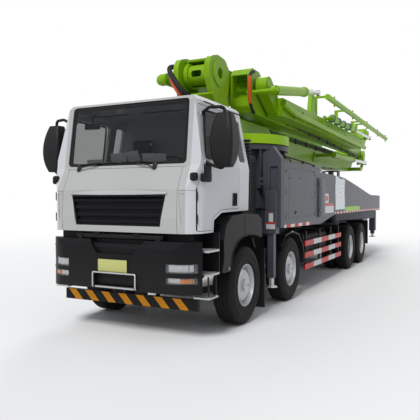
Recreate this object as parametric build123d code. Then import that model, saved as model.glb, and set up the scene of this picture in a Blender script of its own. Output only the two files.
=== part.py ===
"""Four-axle concrete pump truck with a five-arm folding boom, stowed for the road.

Millimetres. +X is forward, +Y the truck's left, +Z up, wheels on z = 0.
Stations below are counted from the front axle; origin_x then moves them so
that the origin lies at the bottom centre of the whole truck.
"""
import os
from math import atan2, cos, degrees, hypot, radians, sin

from build123d import *

os.makedirs("parts", exist_ok=True)

# ------------------------------------------------------------------ driving dimensions
front_x = 1430            # foremost edge of the bumper's step
tail_x = -12250           # rearmost pipe end of the stowed boom
origin_x = -(front_x + tail_x) / 2
sides = {"left": 1, "right": -1}

# wheels
tyre_r = 540
tyre_w = 300
rim_r = 292
hand_holes = 16
single_y = 1065           # middle of a single tyre
twin_y = (745, 1075)      # middles of the inner and outer twin tyre
axle_x = {1: 0, 2: -1950, 3: -6600, 4: -8000}
hub_z = tyre_r
kingpin_y = 905
kingpin_r = 26

# chassis frame
rail_y = 390              # outer face of a frame rail
rail_h = 290
rail_top = 1080
rail_front = 900
rail_rear = -10550

# cab
cab_rear = -230
cab_front = 1366          # foremost face of the cab, at the grille
cab_floor = 1320
cab_top = 3035
cab_half = 1145
roof_half = 985
corner_r = 300            # front corners seen from above
wall = 60
door_rear = 115
door_front = 1240
door_hinge = (1240, 1100) # x, y of the upright line of the hinge pins
hinge_pin_r = 8
door_gap = 7

# slewing ring and boom pivots: x, z
ring_x = -2650
ring_r = 880
ring_z = 2720
pivot_a = (-930, 3755)    # turret to arm 1
pivot_b = (-11200, 3180)  # arm 1 to arm 2
pivot_c = (-1950, 3700)   # arm 2 to arm 3
pivot_d = (-10200, 3760)  # arm 3 to arm 4
pivot_e = (-2350, 3480)   # arm 4 to arm 5

# lanes of the boom: inner and outer y of each arm's box
lane_1 = (-290, 290)
lane_2 = (200, 560)
lane_3 = (610, 900)
lane_4 = (-620, -390)
lane_5 = (-1050, -850)
arm_tip_x = -11900
end_pipe_r = 50            # outside radius of the last pipe
end_pipe_y = lane_5[0] - 65

# boom cylinders: barrel eye, rod eye (x, z at rest), lane y, barrel radius, rod radius, barrel length
cylinders = {
    1: dict(base=(-1230, 3040), eye=(-2680, 3310), y=0, bore=105, rod=62, tube=1270),
    2: dict(base=(-6600, 2850), eye=(-10880, 2900), y=765, bore=72, rod=42, tube=2350),
    3: dict(base=(-1680, 3560), eye=(-4400, 4000), y=990, bore=85, rod=50, tube=1750),
    4: dict(base=(-5200, 3560), eye=(-9980, 3600), y=1060, bore=66, rod=38, tube=2500),
    5: dict(base=(-2080, 3340), eye=(-4600, 3580), y=-1117, bore=46, rod=28, tube=1500),
}
pin_fit = 0.05            # radial running clearance of a pin

# deck
cover_inner = 970         # inner face of the side housings

# grate over the hopper
grate_hinge = (-10790, 1524)
grate_rod_r = 16

# outriggers
front_leg = (-1262, 1108)       # x, y of the front leg's jack
front_slide = (0.6, 0.8)        # direction the front beam travels
front_beam_z = {"left": 1275, "right": 1625}
front_beam_h = 270
rear_pivot = (-7350, 560)
front_tube = 52                 # half width of the front jack's square tube
rear_leg = (-10230, 1110)
rear_tube = 56
rear_arm_z = 1150
rear_arm_h = 225


# ------------------------------------------------------------------ helpers
def outline(points, radius=0):
    """Face in the side view from x, z corners, all rounded by one radius."""
    if radius:
        return make_face(FilletPolyline(*points, radius=radius, close=True))
    return make_face(Polyline(*points, close=True))


def slab(face, low_y, high_y):
    """Side-view face pulled across from low_y to high_y."""
    return extrude(Plane.XZ.offset(-high_y) * face, amount=high_y - low_y)


def block(low, high):
    """Box between two opposite corners."""
    size = [b - a for a, b in zip(low, high)]
    middle = [(a + b) / 2 for a, b in zip(low, high)]
    return Pos(*middle) * Box(*size)


def drum(x, z, radius, low_y, high_y):
    """Round bar across the truck."""
    return Pos(x, (low_y + high_y) / 2, z) * Rot(90, 0, 0) * Cylinder(radius, high_y - low_y)


def post(x, y, radius, low_z, high_z):
    """Upright round bar."""
    return Pos(x, y, (low_z + high_z) / 2) * Cylinder(radius, high_z - low_z)


def bar(start, end, radius):
    """Round bar between two points."""
    a, b = Vector(*start), Vector(*end)
    return Plane(origin=(a + b) / 2, z_dir=(b - a)) * Cylinder(radius, (b - a).length)


def pipe(points, radius, bend):
    """Round pipe along straight runs joined by bends."""
    route = FilletPolyline(*points, radius=bend)
    return sweep(Plane(origin=route @ 0, z_dir=route % 0) * Circle(radius), path=route)


def on_side(shape, side):
    """A shape drawn for the left, or its mirror image for the right."""
    return shape if side > 0 else mirror(shape, about=Plane.XZ)


def fuse(first, *rest):
    """One body from pieces that overlap."""
    shape = first
    for piece in rest:
        shape = shape + piece
    return shape


def save(node, *shapes):
    """Writes one node, moved so that the origin is at the middle of the truck."""
    solids = [s for shape in shapes for s in shape.solids()]
    placed = [Pos(origin_x, 0, 0) * s for s in solids]
    export_step(placed[0] if len(placed) == 1 else Compound(children=placed), f"parts/{node}.step")


# ------------------------------------------------------------------ wheels
def tyre(y):
    """Ribbed road tyre with round shoulders, standing on the ground."""
    half = tyre_w / 2
    crown, shoulder, bulge = tyre_r, tyre_r - 22, tyre_r - 120
    groove, rib = 10, half / 4
    section = Polyline((-half + 16, rim_r), (-half, rim_r + 30)) + Spline(
        (-half, rim_r + 30), (-half - 4, bulge), (-half + 22, shoulder), tangents=((0, 1), (0.6, 1)))
    steps = [(-half + 22, shoulder), (-half + 40, crown)]
    for k in (-1.5, 0, 1.5):
        middle = k * rib
        steps += [(middle - 8, crown), (middle - 8, crown - groove),
                  (middle + 8, crown - groove), (middle + 8, crown)]
    steps += [(half - 40, crown), (half - 22, shoulder)]
    section = section + Polyline(*steps)
    section = section + Spline(
        (half - 22, shoulder), (half + 4, bulge), (half, rim_r + 30), tangents=((0.6, -1), (0, -1)))
    section = section + Polyline((half, rim_r + 30), (half - 16, rim_r), (-half + 16, rim_r))
    ring = revolve(Plane.XY * make_face(section), axis=Axis.X)
    return Pos(0, y, hub_z) * Rot(0, 0, 90) * ring


def rim(y, outward, dish):
    """Disc wheel: drop-centre barrel, dished disc with a ring of hand holes and a bored hub face."""
    half = tyre_w / 2 - 14
    skin = 12
    barrel = Polyline((-half, rim_r - 1), (-half, rim_r - skin), (-half + 60, rim_r - 34), (half - 60, rim_r - 34),
                      (half, rim_r - skin), (half, rim_r - 1), (half - 50, rim_r - 22), (-half + 50, rim_r - 22),
                      close=True)
    shape = revolve(make_face(barrel), axis=Axis.X)
    disc = Polyline((dish, 112), (dish, 190), (dish - 45, 258), (dish - 45, 265), (dish - 33, 265), (dish - 33, 258),
                    (dish + 12, 190), (dish + 12, 112), close=True)
    shape = shape + revolve(make_face(disc), axis=Axis.X)
    for k in range(hand_holes):
        angle = radians(360 / hand_holes * k)
        hole = Pos(dish - 20, 226 * cos(angle), 226 * sin(angle)) * Rot(0, 90, 0) * Cylinder(15, 120)
        shape = shape - hole
    return Pos(0, y, hub_z) * Rot(0, 0, 90 * outward) * shape


# ------------------------------------------------------------------ chassis
def frame_rails():
    """Two C-section rails tied by cross-members."""
    flange, web = 80, 9
    rails = []
    for side in (1, -1):
        outer = block((rail_rear, 0, rail_top - rail_h), (rail_front, flange, rail_top))
        inner = block((rail_rear - 5, -5, rail_top - rail_h + web), (rail_front + 5, flange - web, rail_top - web))
        rail = Pos(0, rail_y - flange, 0) * (outer - inner)
        rails.append(on_side(rail, side))
    ties = [block((x - 45, web - rail_y, rail_top - rail_h + web), (x + 45, rail_y - web, rail_top - web))
            for x in (760, -2250, -3400, -5200, -7300, -9200, -10480)]
    return rails + ties


def front_axle_beams():
    """Two forged drop beams with spring packs and the eyes that carry the kingpins."""
    pieces = []
    for x in (axle_x[1], axle_x[2]):
        drop = Polyline((-kingpin_y, 560), (-620, 490), (-420, 430), (420, 430), (620, 490), (kingpin_y, 560),
                        (kingpin_y, 470), (620, 400), (420, 330), (-420, 330), (-620, 400), (-kingpin_y, 470), close=True)
        beam = extrude(Plane.YZ.offset(x - 45) * make_face(drop), amount=90)
        for side in (1, -1):
            beam = beam + post(x, side * kingpin_y, 62, 440, 600)
            beam = beam - post(x, side * kingpin_y, kingpin_r, 400, 640)
            spring = outline([(x - 720, 740), (x - 330, 560), (x, 500), (x + 330, 560), (x + 720, 740), (x + 720, 775),
                              (x + 330, 620), (x, 575), (x - 330, 620), (x - 720, 775)])
            clamp = block((x - 110, side * 345 - 55, 430), (x + 110, side * 345 + 55, 590))
            eyes = [block((x + end - 27, side * 345 - 40, 735), (x + end + 27, side * 345 + 40, 790)) for end in (-718, 718)]
            pieces.append(fuse(slab(spring, side * 345 - 45, side * 345 + 45), clamp, *eyes))
        pieces.append(beam)
    return pieces


def rear_axle_housings():
    """Driven tandem: two banjo housings with tapering tubes, walking springs and the propeller shafts."""
    pieces = []
    nose_z = hub_z + 20
    middle = (axle_x[3] + axle_x[4]) / 2
    for x in (axle_x[3], axle_x[4]):
        half = revolve(Plane.YZ * make_face(Polyline(
            (0, 0), (0, 235), (150, 225), (330, 120), (520, 85), (905, 62), (905, 0), close=True)), axis=Axis.Y)
        housing = Pos(x, 0, hub_z) * (half + mirror(half, about=Plane.XZ))
        housing = housing + Pos(x + 190, 0, nose_z) * Rot(0, 90, 0) * Cone(130, 75, 220)
        if x == axle_x[3]:
            housing = housing + Pos(x - 215, 0, nose_z) * Rot(0, 90, 0) * Cylinder(70, 60)
        for y in (-470, 470):
            housing = housing + block((x - 60, y - 45, 600), (x + 60, y + 45, 645))
        pieces.append(housing)
    for side in (1, -1):
        leaf = outline([(axle_x[4], 695), (middle - 300, 765), (middle + 300, 765), (axle_x[3], 695),
                        (axle_x[3], 645), (middle + 260, 665), (middle - 260, 665), (axle_x[4], 645)])
        saddle = block((middle - 130, side * 450 - 59, 650), (middle + 130, side * 450 + 59, 860))
        pieces.append(slab(leaf, side * 470 - 45, side * 470 + 45) + saddle)
    pieces.append(bar((axle_x[3] + 302, 0, nose_z), (-1712, 0, 760), 55))
    pieces.append(bar((axle_x[4] + 302, 0, nose_z), (axle_x[3] - 247, 0, nose_z), 50))
    return pieces


def engine_block():
    """Engine and gearbox as one plain mass under the cab."""
    return block((-700, -290, 800), (700, 290, 1290)) + block((-1700, -200, 690), (-700, 200, 1060))


def knuckle(axle, side):
    """Steering knuckle: fork round the beam's eye, kingpin and stub axle."""
    x = axle_x[axle]
    shape = block((x - 70, kingpin_y - 62, 606), (x + 70, kingpin_y + 95, 665))
    shape = shape + block((x - 70, kingpin_y - 62, 370), (x + 70, kingpin_y + 95, 434))
    shape = shape + block((x - 70, kingpin_y + 68, 370), (x + 70, kingpin_y + 95, 665))
    shape = shape + post(x, kingpin_y, kingpin_r - pin_fit, 380, 660)
    shape = shape + drum(x, hub_z, 45, kingpin_y + 90, single_y + 95)
    shape = shape + drum(x, hub_z, 150, kingpin_y + 80, kingpin_y + 100)
    return on_side(shape, side)


def wheel(axle, side):
    """Tyres and rims of one wheel end, as two groups of solids."""
    x = axle_x[axle]
    if axle < 3:
        tyres = [tyre(side * single_y)]
        disc = rim(side * single_y, side, 95)
        centre = drum(0, hub_z, 150, 1012, 1175) - drum(0, hub_z, 45 + pin_fit, 1000, single_y + 97)
        centre = centre + drum(0, hub_z, 85, 1175, 1205)
    else:
        tyres = [tyre(side * y) for y in twin_y]
        disc = rim(side * twin_y[1], -side, 95) + rim(side * twin_y[0], side, 95)
        centre = drum(0, hub_z, 150, 840, 1010) + drum(0, hub_z, 105, 1010, 1130)
        centre = centre - drum(0, hub_z, 70, 830, 915)
    if side < 0:
        centre = mirror(centre, about=Plane.XZ)
    return [Pos(x, 0, 0) * t for t in tyres], Pos(x, 0, 0) * fuse(disc, centre)


# ------------------------------------------------------------------ cab
def rounded_front(rear, front, half, radius, inset):
    """Top view of a body with both front corners rounded, drawn in by inset."""
    long, wide = front - rear - 2 * inset, 2 * (half - inset)
    face = Pos((front + rear) / 2, 0) * Rectangle(long, wide)
    return fillet(face.vertices().group_by(Axis.X)[-1], radius - inset)


def cab_body(inset):
    """Outer form of the cab, every face drawn in by inset: side, front and top views cut by each other."""
    side_view = outline([(cab_rear, cab_top - 20), (960, cab_top), (1050, cab_top - 22),
                         (1086, 2960), (1196, 2150), (1338, 1852), (cab_front, 1500), (1350, cab_floor), (870, cab_floor),
                         (860, 1470), (640, 1560), (cab_rear, 1575)])
    front_view = make_face(Polyline((-1125, cab_floor - 100), (-cab_half, 2150), (-roof_half, 2970), (-930, cab_top - 4),
                                    (-700, cab_top + 10), (700, cab_top + 10), (930, cab_top - 4), (roof_half, 2970),
                                    (cab_half, 2150), (1125, cab_floor - 100), close=True))
    if inset:
        side_view, front_view = [
            offset(face, amount=-inset) for face in (side_view, front_view)]
    top_view = rounded_front(cab_rear, cab_front, cab_half, corner_r, inset)
    shell = extrude(Plane.YZ.offset(-800) * front_view, amount=2600) & extrude(Plane.XY.offset(1000) * top_view, amount=2400)
    return slab(side_view, -1400, 1400) & shell, shell


def door_outline(grow):
    """Side view of a door, grown outwards by the gap for the opening in the cab."""
    corners = [(door_front, 1352), (door_front, 1850), (1150, 2150), (1032, 2905), (door_rear, 2905), (door_rear, 1610),
               (660, 1600), (895, 1500), (905, 1352)]
    face = outline(corners, 22)
    return offset(face, amount=grow) if grow else face


windscreen_face = [(-925, 2168), (-912, 2982), (912, 2982), (925, 2168)]
door_window = [(1085, 2230), (955, 2835), (205, 2835), (205, 2230)]
rear_window = [(65, 2245), (65, 2825), (-155, 2825), (-155, 2245)]


def cab_windows_cut():
    """Prisms that cut the windscreen and the small side windows."""
    screen = fillet(make_face(Polyline(*windscreen_face, close=True)).vertices(), 55)
    return extrude(Plane.YZ.offset(900) * screen, amount=700), slab(outline(rear_window, 40), -1300, 1300)


cab_outer, _ = cab_body(0)
cab_inner, cab_core = cab_body(wall)
cab_seam, _ = cab_body(8)
_, door_rebate = cab_body(wall + 40)


seam_y = 885              # side seams of the front flap
grille_top, grille_low = 1787, 1400


def grille_face(inset=0):
    """Front view of the grille opening."""
    return make_face(Polyline((-722 + inset, grille_top - inset), (-650 + inset, grille_low + inset),
                              (650 - inset, grille_low + inset), (722 - inset, grille_top - inset), close=True))


def cab_shell():
    """Floor, roof, rear wall, pillars and front panel of the cab, with the grille opening and the panel seams."""
    shape = cab_outer - cab_inner
    screen, small = cab_windows_cut()
    shape = shape - (slab(door_outline(door_gap), -1300, 1300) - door_rebate) - (screen - cab_inner) - small
    shape = shape - extrude(Plane.YZ.offset(1200) * grille_face(), amount=400)
    seams = [block((1100, -930, 2130), (1500, 930, 2136))]
    for side in (1, -1):
        seams.append(block((1150, side * seam_y - 3, 1290), (1500, side * seam_y + 3, 2135)))
        seams.append(Pos(1200, side * (seam_y + 130), 1835) * Box(400, 260, 6))
    for seam in seams:
        shape = shape - (seam - cab_seam)
    for side in (1, -1):
        wedge = extrude(Plane.YZ.offset(1150) * make_face(Polyline(
            (side * 905, 1800), (side * 985, 1800), (side * 940, 1430), close=True)), amount=300)
        shape = shape - (wedge - cab_seam)
    return shape


def cab_windows():
    """Windscreen and the fixed panes behind the doors."""
    screen, small = cab_windows_cut()
    glass = cab_outer - cab_inner
    panes = list(((glass & screen & (Pos(-14, 0, -2) * cab_outer)) - (Pos(-28, 0, -4) * cab_outer)).solids())
    for side in (1, -1):
        skin = (Pos(0, -14 * side, 0) * cab_outer) - (Pos(0, -26 * side, 0) * cab_outer)
        half = block((-400, min(0, side * 1300), 2000), (200, max(0, side * 1300), 3000))
        panes += list((small & half & skin & block((-400, 900, 2000), (200, 1300, 3000))).solids()
                      if side > 0 else (small & half & skin & block((-400, -1300, 2000), (200, -900, 3000))).solids())
    return panes


def door(side):
    """Hollow-skinned door with its window cut, hinge pins, handle and the mirror on its arms."""
    shape = (cab_outer - cab_core) & slab(door_outline(0), 300, 1400)
    shape = shape - slab(outline(door_window, 60), 300, 1400)
    shape = shape - slab(outline([(165, 1650), (315, 1650), (315, 1810), (165, 1810)], 25), 1112, 1200)
    shape = shape + post(240, 1134, 13, 1645, 1815)
    hx, hy = door_hinge
    pins = [post(hx, hy, hinge_pin_r, z, z + 110) + block((hx - 60, hy - 45, z), (hx - 3, hy - 3, z + 110))
            for z in (1440, 1715)]
    head = loft([Plane.XY.offset(z) * (Pos(x, 1335) * RectangleRounded(w, d, 45))
                 for z, x, w, d in ((2120, 985, 150, 190), (2200, 985, 210, 250), (2660, 975, 210, 250), (2775, 965, 150, 190))])
    arms = pipe([(985, 1010, 2780), (1030, 1150, 2850), (975, 1330, 2850), (975, 1335, 2700)], 20, 50)
    lower = pipe([(1120, 1085, 2215), (1090, 1200, 2150), (1000, 1330, 2100), (990, 1335, 2180)], 20, 40)
    base = block((1020, 1085, 2040), (1150, 1178, 2150))
    return on_side(fuse(shape, *pins, head, arms, lower, base), side)


def cab_interior():
    """Two seats, the dash, the steering wheel on its column, and the shelf behind the seats."""
    pieces = []
    for y in (520, -520):
        seat = fillet(block((40, y - 250, 1690), (560, y + 250, 1830)).edges().filter_by(Axis.Z), 50)
        seat = seat + block((160, y - 150, 1630), (460, y + 150, 1695))
        back = slab(outline([(20, 1800), (150, 1800), (45, 2440), (-75, 2440)], 35), y - 240, y + 240)
        rest = slab(outline([(-50, 2425), (40, 2425), (30, 2630), (-45, 2630)], 30), y - 140, y + 140)
        pieces.append(fuse(seat, back, rest))
    dash = slab(outline([(1000, 1420), (1250, 1420), (1250, 1850), (1115, 2105), (930, 2100), (900, 1960), (980, 1800)],
                        25), -930, 930)
    column = bar((1000, 520, 1900), (760, 520, 2090), 30)
    ring = Plane(origin=(745, 520, 2101), z_dir=(-250, 0, 190)) * Torus(225, 16)
    spokes = Plane(origin=(755, 520, 2094), z_dir=(-250, 0, 190)) * Box(40, 440, 16)
    pieces.append(fuse(dash, column, ring, spokes))
    pieces.append(block((-165, -1000, 1640), (-100, 1000, 2150)))
    return pieces


# ------------------------------------------------------------------ front end
bumper_x = 1395           # front face of the bumper
bumper_z = (590, 1222)
lamp_rows = ((848, 962), (716, 798))     # low and high edge of the upper and lower lamps
lamp_y = (748, 1112)


def bumper_body(inset):
    """Outer form of the bumper, wrapped round both front corners, drawn in by inset."""
    low, high = bumper_z
    section = outline([(1190, low), (1365, low), (bumper_x, low + 90), (bumper_x, high - 92), (1372, high - 30),
                       (1345, high), (1190, high)])
    if inset:
        section = offset(section, amount=-inset)
    top_view = rounded_front(800, bumper_x, 1182, 370, inset)
    return slab(section, -1300, 1300) & extrude(Plane.XY.offset(300) * top_view, amount=1200)


def lamp_window(side, row, gap):
    """Box through which one row of lamps looks out, made smaller by gap."""
    y_low, y_high = sorted((side * lamp_y[0], side * lamp_y[1]))
    z_low, z_high = lamp_rows[row]
    return block((1000, y_low + gap, z_low + gap), (1600, y_high - gap, z_high - gap))


def bumper():
    """Steel bumper open to the rear, with the notch over the plate, lamp pockets, folding step and brackets."""
    core = bumper_body(60)
    shape = bumper_body(0) - core - (Pos(-80, 0, 0) * core)
    notch = extrude(Plane.YZ.offset(1280) * make_face(Polyline(
        (-450, 1250), (-280, 1045), (280, 1045), (450, 1250), close=True)), amount=300)
    shape = shape - (notch - bumper_body(50))
    shape = shape - (block((1200, -325, 612), (1500, 325, 800)) - bumper_body(52))
    for side in (1, -1):
        for row in (0, 1):
            shape = shape - (lamp_window(side, row, 0) - bumper_body(45))
    hoop_x, hoop_r = front_x - 11, 11
    hoop = pipe([(bumper_x - 20, -328, 622), (hoop_x, -328, 622), (hoop_x, -328, 806), (hoop_x, 328, 806), (hoop_x, 328, 622),
                 (bumper_x - 20, 328, 622)], hoop_r, 14)
    tread = block((1345, -300, 612), (1408, 300, 632))
    brackets = [block((rail_front - 60, y - 12, 850), (1345, y + 12, 1050)) for y in (-369, 369)]
    return fuse(shape, hoop, tread, *brackets)


def underrun():
    """Underrun bar set back below the bumper, on two hangers from the frame."""
    shape = block((1062, -1041, 360), (1118, 1041, 502))
    arm = outline([(rail_front - 40, 1040), (rail_front - 40, 860), (1066, 470), (1066, 380), (1040, 380),
                   (rail_front - 80, 800), (rail_front - 80, 1040)])
    for y in (-rail_y - 12, rail_y + 12):
        shape = shape + slab(arm, y - 12, y + 12)
    return shape


def grille():
    """Black grille set in the cab's front: back plate, surround and four wedge-shaped slats."""
    plate = extrude(Plane.YZ.offset(1309) * grille_face(3), amount=8)
    surround = extrude(Plane.YZ.offset(1315) * (grille_face(3) - grille_face(24)), amount=38)
    slats = None
    for k in range(4):
        z = grille_low + 14 + 92 * k
        blade = slab(outline([(1315, z), (1342, z + 10), (1349, z + 34), (1315, z + 74)]), -760, 760)
        slats = blade if slats is None else slats + blade
    return plate + surround + (slats & extrude(Plane.YZ.offset(1300) * grille_face(10), amount=100))


def lamps():
    """Lenses of the headlamps and the lower lamps, curved with the bumper."""
    skin = bumper_body(6) - bumper_body(34)
    pieces = []
    for side in (1, -1):
        for row in (0, 1):
            pieces += list((lamp_window(side, row, 3) & skin).solids())
    return pieces


def fenders():
    """Moulded front arches with their liners and mud flaps, cab steps, arches of the second axle, rear flaps."""
    pieces = []
    opening = [(-530, 1165), (-330, 1215), (-20, 1232), (250, 1195), (430, 1100), (505, 1000), (535, 800)]
    crown = [(790, 800), (735, 960), (745, 1210), (665, 1410), (490, 1512), (60, 1532), (-400, 1515), (-545, 1440),
             (-565, 1165)]
    liner = [(-690, 760), (-690, 1000), (-560, 1190), (-330, 1240), (-20, 1257), (260, 1218), (445, 1118), (540, 1000),
             (520, 985), (430, 1095), (250, 1193), (-20, 1232), (-330, 1215), (-540, 1168), (-665, 990), (-665, 760)]
    for side in (1, -1):
        arch = slab(outline(crown + opening, 28), 1050, 1215) + slab(outline(liner), 880, 1060)
        flap = block((-690, 890, 105), (-672, 1215, 1000))
        panel = block((858, 930, 790), (1186, 955, 1318)) + block((845, 930, 790), (860, 1205, 1318))
        treads = fuse(*[block((855, 950, z - 26), (1160, 1205, z)) for z in (1116, 829)])
        low_step = block((885, 990, 520), (1135, 1205, 541))
        hangers = fuse(*[bar((x, 1185, 530), (x + 20, 1185, 815), 11) for x in (905, 1105)])
        second = slab(outline([(-2695, 560), (-2690, 760), (-2590, 950), (-2370, 1118), (-1990, 1190), (-1640, 1135), (-1470, 975),
                               (-1455, 955), (-1635, 1112), (-1990, 1165), (-2355, 1095), (-2570, 935), (-2668, 755),
                               (-2673, 560)]), 890, 1215)
        stay = block((-2010, 400, 1040), (-1970, 895, 1075)) + block((-2010, 880, 1040), (-1970, 905, 1180))
        rear = block((-8905, 600, 450), (-8887, 1215, 1120)) + block((-8905, 420, 1080), (-8870, 620, 1120))
        for piece in (fuse(arch, flap), fuse(panel, treads, low_step, hangers), fuse(second, stay), rear):
            pieces.append(on_side(piece, side))
    return pieces


def side_guards():
    """Three-rail guards between the second and third axles, on cranked posts from the frame."""
    pieces = []
    for side in (1, -1):
        for low in (416, 636, 856):
            pieces.append(block((-5630, side * 1190 - 15, low), (-2790, side * 1190 + 15, low + 100)))
        for x in (-2950, -3900, -4800, -5500):
            post_out = block((x - 30, 1140, 416), (x + 30, 1175, 1130)) + block((x - 30, 420, 1100), (x + 30, 1175, 1130))
            pieces.append(on_side(post_out, side))
    return pieces


# ------------------------------------------------------------------ superstructure
def deck_covers():
    """Long side housings along the deck with their door seams, stepping down towards the hopper."""
    profile = [(-1470, 1262), (-1470, 2330), (-3640, 2335), (-3640, 2272), (-5460, 2240), (-5800, 2225), (-7050, 2092),
               (-8700, 1900), (-9160, 1850), (-10705, 1840), (-10705, 1390), (-4900, 1400), (-3700, 1240)]
    skin_y = 1245
    seams = [(-3400, 1290, 2335), (-5460, 1400, 2240), (-7400, 1400, 2060), (-9160, 1400, 1850)]
    pieces = []
    for side in (1, -1):
        shape = slab(outline(profile), cover_inner, skin_y)
        for x, low, high in seams:
            shape = shape - block((x - 5, skin_y - 12, low), (x + 5, skin_y + 5, high + 10))
        door_line = outline([(-1700, 1420), (-3250, 1420), (-3250, 2260), (-1700, 2260)], 40)
        shape = shape - (slab(door_line, skin_y - 6, skin_y + 5) - slab(offset(door_line, amount=-8), 0, 1300))
        edge = outline([(-1480, 2330), (-3630, 2335), (-3630, 2352), (-1480, 2347)])
        shape = shape + slab(edge, skin_y - 60, skin_y - 10)
        rail = pipe([(-1580, 1170, 2310), (-1580, 1170, 2420), (-2020, 1170, 2420), (-2020, 1170, 2310)], 13, 45)
        name = "left" if side > 0 else "right"
        z = front_beam_z[name]
        pieces.append(on_side(shape + rail, side) - along_beam(side, -300, 700, 130, z - 10, z + front_beam_h + 10))
    return pieces


def front_direction(side):
    """Travel of a front beam and the turn of its box about Z."""
    ux, uy = front_slide[0], front_slide[1] * side
    return ux, uy, degrees(atan2(uy, ux))


def along_beam(side, low, high, half_w, z_low, z_high):
    """Box along the front beam's line, from low to high measured inwards from the leg."""
    ux, uy, turn = front_direction(side)
    middle = (low + high) / 2
    x, y = front_leg[0] - ux * middle, front_leg[1] * side - uy * middle
    return Pos(x, y, (z_low + z_high) / 2) * Rot(0, 0, turn) * Box(high - low, 2 * half_w, z_high - z_low)


def subframe():
    """Pump subframe: deck, pedestal under the slewing ring, crossing front tunnels and the rear pivots."""
    deck = block((-10650, -420, rail_top), (-1500, 420, 1240))
    side_beams = block((-10500, -cover_inner, 1400), (-3900, cover_inner, 1460)) + block((-10500, -420, 1240), (-4300, 420, 1400))
    pedestal = Pos(ring_x, 0, 1975) * Cylinder(700, 1470) + Pos(ring_x, 0, 2665) * Cylinder(ring_r - 20, 90)
    gussets = fuse(*[Pos(ring_x, 0, 2300) * Rot(0, 0, 45 * k) * Pos(720, 0, 0) * Box(260, 24, 740) for k in range(8)])
    shape = fuse(deck, side_beams, pedestal, gussets)
    for name, side in sides.items():
        z = front_beam_z[name]
        shape = shape + along_beam(side, 330, 2440, 170, z - 40, z + front_beam_h + 40)
    for name, side in sides.items():
        z = front_beam_z[name]
        shape = shape - along_beam(side, -300, 2420, 128, z - 8, z + front_beam_h + 8)
    for side in (1, -1):
        x, y = rear_pivot[0], side * rear_pivot[1]
        for low, high in ((rear_arm_z - 60, rear_arm_z - 10), (rear_arm_z + rear_arm_h + 10, 1430)):
            ear = post(x, y, 150, low, high) + block((x - 150, min(side * 300, y), low), (x + 150, max(side * 300, y), high))
            shape = shape + ear
        shape = shape + post(x, y, 60 - pin_fit, rear_arm_z - 60, 1430)
    return shape


def boom_rest():
    """Bracket on the deck that the folded boom lies on."""
    shape = slab(outline([(-9700, 1450), (-9200, 1450), (-9350, 2560), (-9550, 2560)]), -60, 60)
    shape = shape + block((-9580, -240, 2560), (-9320, 240, 2590))
    for y in (-240, 210):
        shape = shape + block((-9580, y, 2100), (-9320, y + 30, 2575))
    return shape + block((-9580, -240, 2100), (-9320, 240, 2130))


def hopper():
    """Open concrete hopper with sloping walls, the grate's lugs and the two delivery cylinders ahead of it."""
    top = Plane.XY.offset(1500) * (Pos(-11305, 0) * Rectangle(1150, 1900))
    low = Plane.XY.offset(780) * (Pos(-11200, 0) * Rectangle(620, 1100))
    inner_top = Plane.XY.offset(1510) * (Pos(-11305, 0) * Rectangle(1134, 1884))
    inner_low = Plane.XY.offset(800) * (Pos(-11200, 0) * Rectangle(604, 1084))
    shape = loft([low, top]) - loft([inner_low, inner_top])
    shape = shape + (block((-11900, -980, 1470), (-10710, 980, 1500)) - block((-11855, -935, 1400), (-10755, 935, 1600)))
    shape = shape + block((-10900, -300, 820), (-10540, -200, 1000)) + block((-10900, 200, 820), (-10540, 300, 1000))
    gx, gz = grate_hinge
    for side in (1, -1):
        shape = shape + block((gx - 30, side * 955 - 17, 1490), (gx + 30, side * 955 + 17, gz + 28))
    return shape - drum(gx, gz, grate_rod_r + pin_fit, -1000, 1000)


def hopper_grate():
    """Bar grate over the hopper, turning up on a rod along its front edge."""
    low_x, high_x, half = -11845, grate_hinge[0], 905
    frame = block((low_x, -half, 1508), (high_x, half, 1540)) - block((low_x + 14, 14 - half, 1400),
                                                                      (high_x - 14, half - 14, 1600))
    for k in range(9):
        y = -800 + 200 * k
        frame = frame + block((low_x + 5, y - 5, 1510), (high_x - 5, y + 5, 1535))
    for x in (-11580, -11300, -11020):
        frame = frame + block((x - 5, 5 - half, 1510), (x + 5, half - 5, 1535))
    return frame + drum(*grate_hinge, grate_rod_r, -965, 965)


def tanks():
    """Fuel tank, hydraulic tank and air cylinders hung on the rails."""
    pieces = []
    for side in (1, -1):
        tank = fillet(block((-4700, 430, 560), (-3000, 1100, 1050)).edges().filter_by(Axis.X), 90)
        strap = block((-4450, rail_y, 1000), (-4350, 470, 1060)) + block((-3300, rail_y, 1000), (-3200, 470, 1060))
        piece = tank + strap
        pieces.append(on_side(piece, side))
    return pieces


def leg_housing():
    """Left front leg: lower sleeve, stepped upper housing with a gabled top and a recess, and the tie lug."""
    sleeve = block((-1345, 1026, 1180), (-1180, 1204, 1880))
    gable = make_face(Polyline((1026, 1270), (1026, 2500), (1104, 2590), (1250, 2390), (1250, 1270), close=True))
    upper = extrude(Plane.YZ.offset(-1460) * gable, amount=160)
    upper = upper - block((-1330, 1062, 1845), (-1290, 1196, 2262))
    rear_plate = extrude(Plane.YZ.offset(-1445) * make_face(Polyline(
        (925, 1780), (925, 2470), (985, 2530), (1040, 2530), (1040, 1780), close=True)), amount=95)
    lug = block((-1405, 835, 1960), (-1380, 935, 2090)) - Pos(-1392, 885, 2025) * Rot(0, 90, 0) * Cylinder(26, 60)
    stops = fuse(*[block((-1310, y - 16, 1850), (-1250, y + 16, 1905)) for y in (1044, 1186)])
    return fuse(sleeve, upper, rear_plate, lug, stops)


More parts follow.
